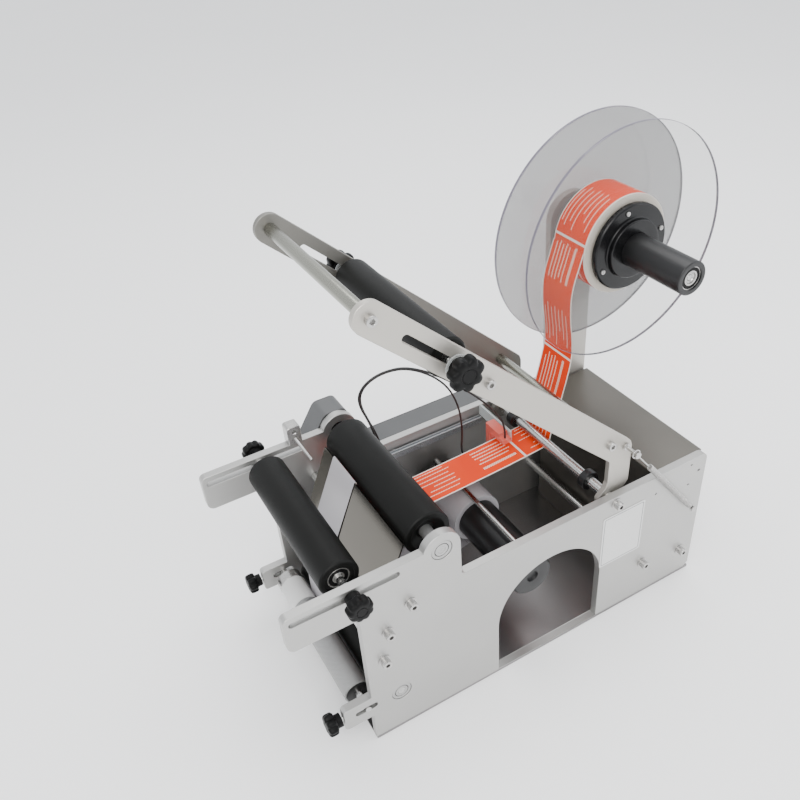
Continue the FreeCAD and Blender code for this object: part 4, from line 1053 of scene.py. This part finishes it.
piece("press_knob_near_star", [star_data(on(-6.8), -axv, 16.0, 11.0, 9.0, 6.0, 7, 0.2)], PLASTIC, "press_knob_near",
      "press_knob_near")
piece("press_knob_far_star", [star_data(on(L_ax + 6.8), axv, 16.0, 11.0, 9.0, 6.0, 7, 0.5)], PLASTIC,
      "press_knob_far", "press_knob_far")

# ------------------------------------------------------------------ rollers
fr_prof = [(0.0, 15.5), (0.0, 18.6), (1.4, 20.0), (170.6, 20.0), (172.0, 18.6), (172.0, 15.0), (170.5, 15.0),
           (170.5, 11.0), (163.0, 11.0), (163.0, 6.0), (9.0, 6.0), (9.0, 11.0), (1.5, 11.0), (1.5, 15.0), (0.0, 15.0),
           (0.0, 15.5)]
piece("front_roller_rubber", [lathe_data((FRONT[0], 24.0, FRONT[1]), (0, 1, 0), fr_prof, 80, 0.5)], RUBBER,
      "front_roller", "front_roller")
piece("front_roller_races", race_rings(FRONT, 26.0, 33.0, 10.98, 4.1) + race_rings(FRONT, 187.0, 194.0, 10.98, 4.1),
      SCREW, "front_roller", "front_roller_bearings")
piece("front_roller_shields", race_shield(FRONT, 26.0, 33.0, 10.98, 4.1) + race_shield(FRONT, 187.0, 194.0, 10.98, 4.1),
      PLASTIC, "front_roller", None)
piece("front_axle_stud", [lathe_data((FRONT[0], 0.0, FRONT[1]), (0, 1, 0),
                                     [(-11, 0), (-11, 3.0), (9.2, 3.0), (9.2, 7.5), (11.2, 7.5), (11.2, 4.0),
                                      (208.8, 4.0), (208.8, 7.5), (210.8, 7.5), (210.8, 3.0), (231, 3.0), (231, 0)],
                                     40, 0.3)], STEEL, "front_carriage", "front_axle")
piece("front_knob_near_star", [star_data((FRONT[0], -0.3, FRONT[1]), (0, -1, 0), 12.5, 11.0, 7.5, 9.0, 9, 0.1, 0.10)],
      PLASTIC, "front_knob_near", "front_knob_near")
piece("front_knob_far_star", [star_data((FRONT[0], 220.3, FRONT[1]), (0, 1, 0), 12.5, 11.0, 7.5, 9.0, 9, 0.4, 0.10)],
      PLASTIC, "front_knob_far", "front_knob_far")

dr_prof = [(0.0, 18.6), (0.0, 22.6), (1.4, 24.0), (168.6, 24.0), (170.0, 22.6), (170.0, 0.0)]
piece("drive_roller_rubber", [lathe_data((DRIVE[0], 25.0, DRIVE[1]), (0, 1, 0),
                                         [(6.0, 0.0), (6.0, 9.0), (0.0, 18.0), (0.0, 22.6), (1.4, 24.0), (168.6, 24.0),
                                          (170.0, 22.6), (170.0, 0.0)], 88, 0.5)], RUBBER, "drive_roller",
      "drive_roller")
piece("drive_roller_shaft", [lathe_data((DRIVE[0], 0.0, DRIVE[1]), (0, 1, 0),
                                        [(1.6, 0), (0.9, 1.2), (0.9, 3.95), (8.6, 3.95), (8.6, 6.5), (31.2, 6.5),
                                         (31.2, 0)], 40, 0.3),
                             lathe_data((DRIVE[0], 211.5, DRIVE[1]), (0, 1, 0),
                                        [(0, 0), (0, 3.95), (31.5, 3.95), (31.5, 0)], 40, 0.3)], RACE, "drive_roller",
      None)
piece("drive_roller_boss", [lathe_data((DRIVE[0], 195.0, DRIVE[1]), (0, 1, 0),
                                       [(0.05, 0), (0.05, 17.0), (4.0, 17.0), (4.0, 6.5), (16.4, 6.5), (16.4, 0)], 56,
                                       0.4)], ANOD, "drive_roller", None)


def pulley_data(c, r):
    segs = 72

    def teeth(a, rad):
        return 1.0
    body = lathe_data((c[0], 0.0, c[1]), (0, 1, 0), [(225.6, 0), (225.6, r + 2.2), (227.0, r + 2.2), (227.0, r), (239.0, r),
                                                     (239.0, r + 2.2), (240.4, r + 2.2), (240.4, 3.9), (243.0, 3.9),
                                                     (243.0, 0)], segs, 0.15)
    return body


piece("drive_pulley_alu", [pulley_data(DRIVE, 14.0)], ALU_EDGE, "drive_roller", None)
piece("traction_roller_rubber", [lathe_data((TRACTION[0], 20.0, TRACTION[1]), (0, 1, 0),
                                            [(0.0, 0.0), (0.0, 20.9), (1.4, 22.3), (178.6, 22.3), (180.0, 20.9), (180.0, 0.0)],
                                            80, 0.5)], RUBBER, "traction_roller", "traction_roller")
piece("traction_roller_shaft", [lathe_data((TRACTION[0], 0.0, TRACTION[1]), (0, 1, 0),
                                           [(1.6, 0), (0.9, 1.2), (0.9, 3.95), (8.6, 3.95), (8.6, 6.5), (19.9, 6.5),
                                            (19.9, 0)], 40, 0.3),
                                lathe_data((TRACTION[0], 200.1, TRACTION[1]), (0, 1, 0),
                                           [(0, 0), (0, 6.5), (11.3, 6.5), (11.3, 3.95), (42.0, 3.95), (42.0, 0)],
                                           40, 0.3), pulley_data(TRACTION, 13.0)], STEEL, "traction_roller", None)

# pinch roller: knurled steel, a dark disc in the near end, a white band and a bright end towards the far plate
def uv_cyl(name, c, r, y0, y1, mat, body, node, ends=True):
    segs = 96
    rows = [(y0, 0.0), (y0, r - 0.8), (y0 + 0.8, r), (y1 - 0.8, r), (y1, r - 0.8), (y1, 0.0)] if ends else \
        [(y0, r), (y1, r)]
    verts, faces = [], []
    for y, rr in rows:
        for k in range(segs):
            a = 2 * math.pi * k / segs
            verts.append(pt(c[0] + rr * math.cos(a), y, c[1] + rr * math.sin(a)))
    for j in range(len(rows) - 1):
        for k in range(segs):
            k2 = (k + 1) % segs
            faces.append((j * segs + k, j * segs + k2, (j + 1) * segs + k2, (j + 1) * segs + k))
    me = raw_mesh(name, verts, faces)
    uvl = me.uv_layers.new(name="UVMap")
    for poly in me.polygons:
        ks = [me.loops[li].vertex_index % segs for li in poly.loop_indices]
        wrap = max(ks) - min(ks) > segs / 2
        for li, k in zip(poly.loop_indices, ks):
            y = rows[me.loops[li].vertex_index // segs][0]
            if wrap and k == 0:
                k = segs
            uvl.data[li].uv = (2 * math.pi * r * k / segs / 25.0, (y - y0) / 25.0)
    return finish_mesh(name, me, mat, body, node, 40)


uv_cyl("pinch_roller_knurl", PINCH, 14.5, 22.5, 150.0, KNURL, "pinch_roller", "pinch_roller")
piece("pinch_roller_white", [yrod(PINCH, 14.2, 150.0, 186.0, 72, 0.4)], KNURL_WHITE, "pinch_roller", None)
piece("pinch_roller_end", [yrod(PINCH, 14.4, 186.0, 198.0, 72, 0.8)], SCREW, "pinch_roller", None)
piece("pinch_roller_near_end", [ytube(PINCH, 12.7, 3.9, 22.0, 23.2, 72, 0.2)], ANOD, "pinch_roller", None)
piece("pinch_axle_pin", [lathe_data((PINCH[0], 0.0, PINCH[1]), (0, 1, 0),
                                    [(-1, 0), (-1, 3.2), (9.2, 3.2), (9.2, 4.0), (210.8, 4.0), (210.8, 3.2), (219, 3.2),
                                     (219, 0)], 40, 0.3)], STEEL, "pinch_carriage", "pinch_axle")
for nm, y in (("near", 4.5), ("far", 215.5)):
    piece("tension_knob_%s_star" % nm, [star_data((-33.0, y, PINCH[1]), (-1, 0, 0), 11.5, 10.0, 7.0, 6.0, 7, 0.3)],
          PLASTIC, "tension_knob_" + nm, "tension_knob_" + nm)
    piece("tension_screw_%s" % nm, [lathe_data((-33.2, y, PINCH[1]), (1, 0, 0), rod_prof(0, 24.6, 2.5), 28, 0.3)],
          STEEL, "tension_knob_" + nm, None)

# ------------------------------------------------------------------ rewinder
piece("rewind_drum_black", [lathe_data((REWIND[0], 15.0, REWIND[1]), (0, 1, 0),
                                       [(3.0, 0), (3.0, 6.0), (0, 7.0), (0, 22.5), (1.5, 24.0), (188.5, 24.0),
                                        (190, 22.5), (190, 10.0), (195.6, 10.0), (195.6, 3.95), (228, 3.95), (228, 0)],
                                       80, 0.4), pulley_data(REWIND, 12.0)], ANOD, "rewinder", "rewind_drum")
rd = Vector((-5.0, 0.0, 33.0)).normalized()


def dp(r, y):
    return (REWIND[0] + rd.x * r, y, REWIND[1] + rd.z * r)


clip_pts = [dp(22.0, 24.0), dp(27.0, 24.0), dp(30.5, 24.4), dp(32.4, 25.8), dp(33.3, 29.0)] + \
           [dp(33.4, y) for y in range(36, 190, 14)] + [dp(33.3, 195.0), dp(32.4, 198.2), dp(30.5, 199.6),
                                                        dp(27.0, 200.0), dp(22.0, 200.0)]
piece("rewind_clip_wire", [sweep_data(clip_pts, 2.9, 18)], STEEL, "rewinder", "rewind_clip", 50)
piece("waste_roll_wound", [ytube(REWIND, 30.0, 24.05, WY0, WY1, 80, 0.3)], LINER, "rewinder", "waste_roll")
paper("waste_roll_tail", [before_roll(20.6), before_roll(14.0), before_roll(7.0), before_roll(0.0)], 0.30, 0.0, LINER,
      None, "rewinder")

# ------------------------------------------------------------------ sensor, rail, gland, stop
rail_sec = [(203.0, 157.0), (209.0, 157.0), (209.0, 165.0), (207.2, 165.0), (207.2, 162.0), (204.8, 162.0),
            (204.8, 165.0), (203.0, 165.0)]
piece("sensor_rail_profile", [plate_data(rail_sec, [], 140.0, 266.4, yz, 0.25),
                              yrod((150, 161), 3.0, 209.0, YF, 28, 0.1), yrod((250, 161), 3.0, 209.0, YF, 28, 0.1)],
      ALU_EDGE, "frame", "sensor_rail")
piece("sensor_bracket_acrylic", [block_data(266.6, 269.5, 146, 209, 165.5, 180, 0.4)], ACRYLIC, "frame", None)
fork = [(142, 147), (177, 147), (177, 179), (150, 179), (150, 174), (142, 174), (142, 168.5), (169.5, 168.5),
        (169.5, 155), (142, 155)]
piece("label_sensor_fork", [plate_data(fork, [], 254.5, 266.5, yz, 0.5)], RED_CLEAR, "frame", "label_sensor")
gl = [lathe_data((124.5, YF, 150.0), (0, -1, 0), [(0, 0), (0, 8.0), (2.6, 8.0), (2.6, 6.4), (5.0, 6.4), (6.8, 7.4),
                                                  (7.2, 7.4), (11.0, 6.0), (11.0, 0)], 48, 0.4)]
piece("cable_gland_nut", gl, PLASTIC, "frame", "cable_gland")
stop = [plate_data(soft_outline([(29, 227.05, 0.6), (44, 227.05, 0.6), (44, 250, 3), (29, 250, 3)]),
                   [circle((36.5, 243.0), 2.0, 20)], 208.0, 222.0, xz, 0.6),
        lathe_data((36.0, 207.7, 236.0), (5.2, -27.7, -13.0), rod_prof(0, 31.0, 1.6), 24, 0.4)]
piece("stop_clamp_block", stop, SCREW, "frame", "stop_clamp")

# ------------------------------------------------------------------ return spring and its hook
A = Vector((PIN[0], -3.0, PIN[1]))
B = Vector((POST[0], -6.5, POST[1]))
sd = (A - B)
SL = sd.length
sd.normalize()
_, su, sw = basis(sd)


def sp(s, r=0.0, a=0.0):
    return tuple(B + sd * s + (su * math.cos(a) + sw * math.sin(a)) * r)


turns, s0, s1 = 46, 7.0, SL - 33.0
coil = [sp(s0 + (s1 - s0) * k / (turns * 14), 2.85, 2 * math.pi * k / 14.0) for k in range(turns * 14 + 1)]
ring = [tuple(B + Vector((math.cos(a), 0, math.sin(a))) * 3.0) for a in [2 * math.pi * k / 24 for k in range(24)]]
piece("tension_spring_coil", [sweep_data(coil, 0.62, 8), sweep_data(ring, 0.75, 10, True),
                              sweep_data([sp(3.0), sp(5.5), sp(7.0, 1.2, 0.0), sp(7.2, 2.85, 0.0)], 0.62, 8)], SCREW,
      "spring", "tension_spring", 60)
hring = [tuple(A + Vector((math.cos(a), 0, math.sin(a))) * 4.4) for a in [2 * math.pi * k / 28 for k in range(28)]]
piece("spring_hook_wire", [sweep_data(hring, 0.8, 10, True), sweep_data([sp(SL - 4.4), sp(SL - 64.0)], 0.8, 10)],
      SCREW, "spring_hook", "spring_hook", 60)

# ------------------------------------------------------------------ floor sheet, inlet, board, motor and belts
carried = {"base_plate": SHEET, "power_entry": PLASTIC, "power_switch": PLASTIC, "electronics": BOARD,
           "cover_screws": SCREW, "motor": DARK, "motor_pulley": ALU_EDGE, "timing_belt": RUBBER}
for n, m in carried.items():
    o = NODES[n]
    if not o.material_slots:
        o.data.materials.append(m)
    for s in o.material_slots:
        s.material = m

# ------------------------------------------------------------------ floor, light
floor_me = raw_mesh("floor", [(-6, -6, 0), (6, -6, 0), (6, 6, 0), (-6, 6, 0)], [(0, 1, 2, 3)])
floor = bpy.data.objects.new("floor", floor_me)
bpy.context.scene.collection.objects.link(floor)
fm, fnt, fb = new_mat("floor_pale")
lk(fnt, ramp(fnt, noise(fnt, coords(fnt), 2.0, 2.0), [(0.3, (0.985, 0.985, 0.985)), (0.7, (1.0, 1.0, 1.0))]),
   fb.inputs["Base Color"])
fb.inputs["Roughness"].default_value = 0.9
floor_me.materials.append(fm)
floor.location.z = -0.0003

world = bpy.data.worlds.new("world")
bpy.context.scene.world = world
world.use_nodes = True
bg = world.node_tree.nodes["Background"]
bg.inputs["Color"].default_value = (0.95, 0.97, 1.0, 1.0)
bg.inputs["Strength"].default_value = 1.5


def area(name, loc, target, size, power, color=(1, 1, 1)):
    ld = bpy.data.lights.new(name, "AREA")
    ld.shape = "RECTANGLE"
    ld.size, ld.size_y = size
    ld.energy = power
    ld.color = color
    o = bpy.data.objects.new(name, ld)
    bpy.context.scene.collection.objects.link(o)
    o.location = loc
    o.rotation_mode = "QUATERNION"
    o.rotation_quaternion = (Vector(target) - Vector(loc)).to_track_quat("-Z", "Y")
    return o


area("key", (-0.9, -1.3, 1.7), (0, 0, 0.15), (1.3, 1.3), 34, (1.0, 0.98, 0.95))
area("top", (0.5, 0.5, 2.0), (0, 0, 0.2), (1.8, 1.4), 29)
area("fill", (1.6, -1.0, 0.9), (0, 0, 0.2), (1.0, 1.4), 10, (0.95, 0.97, 1.0))
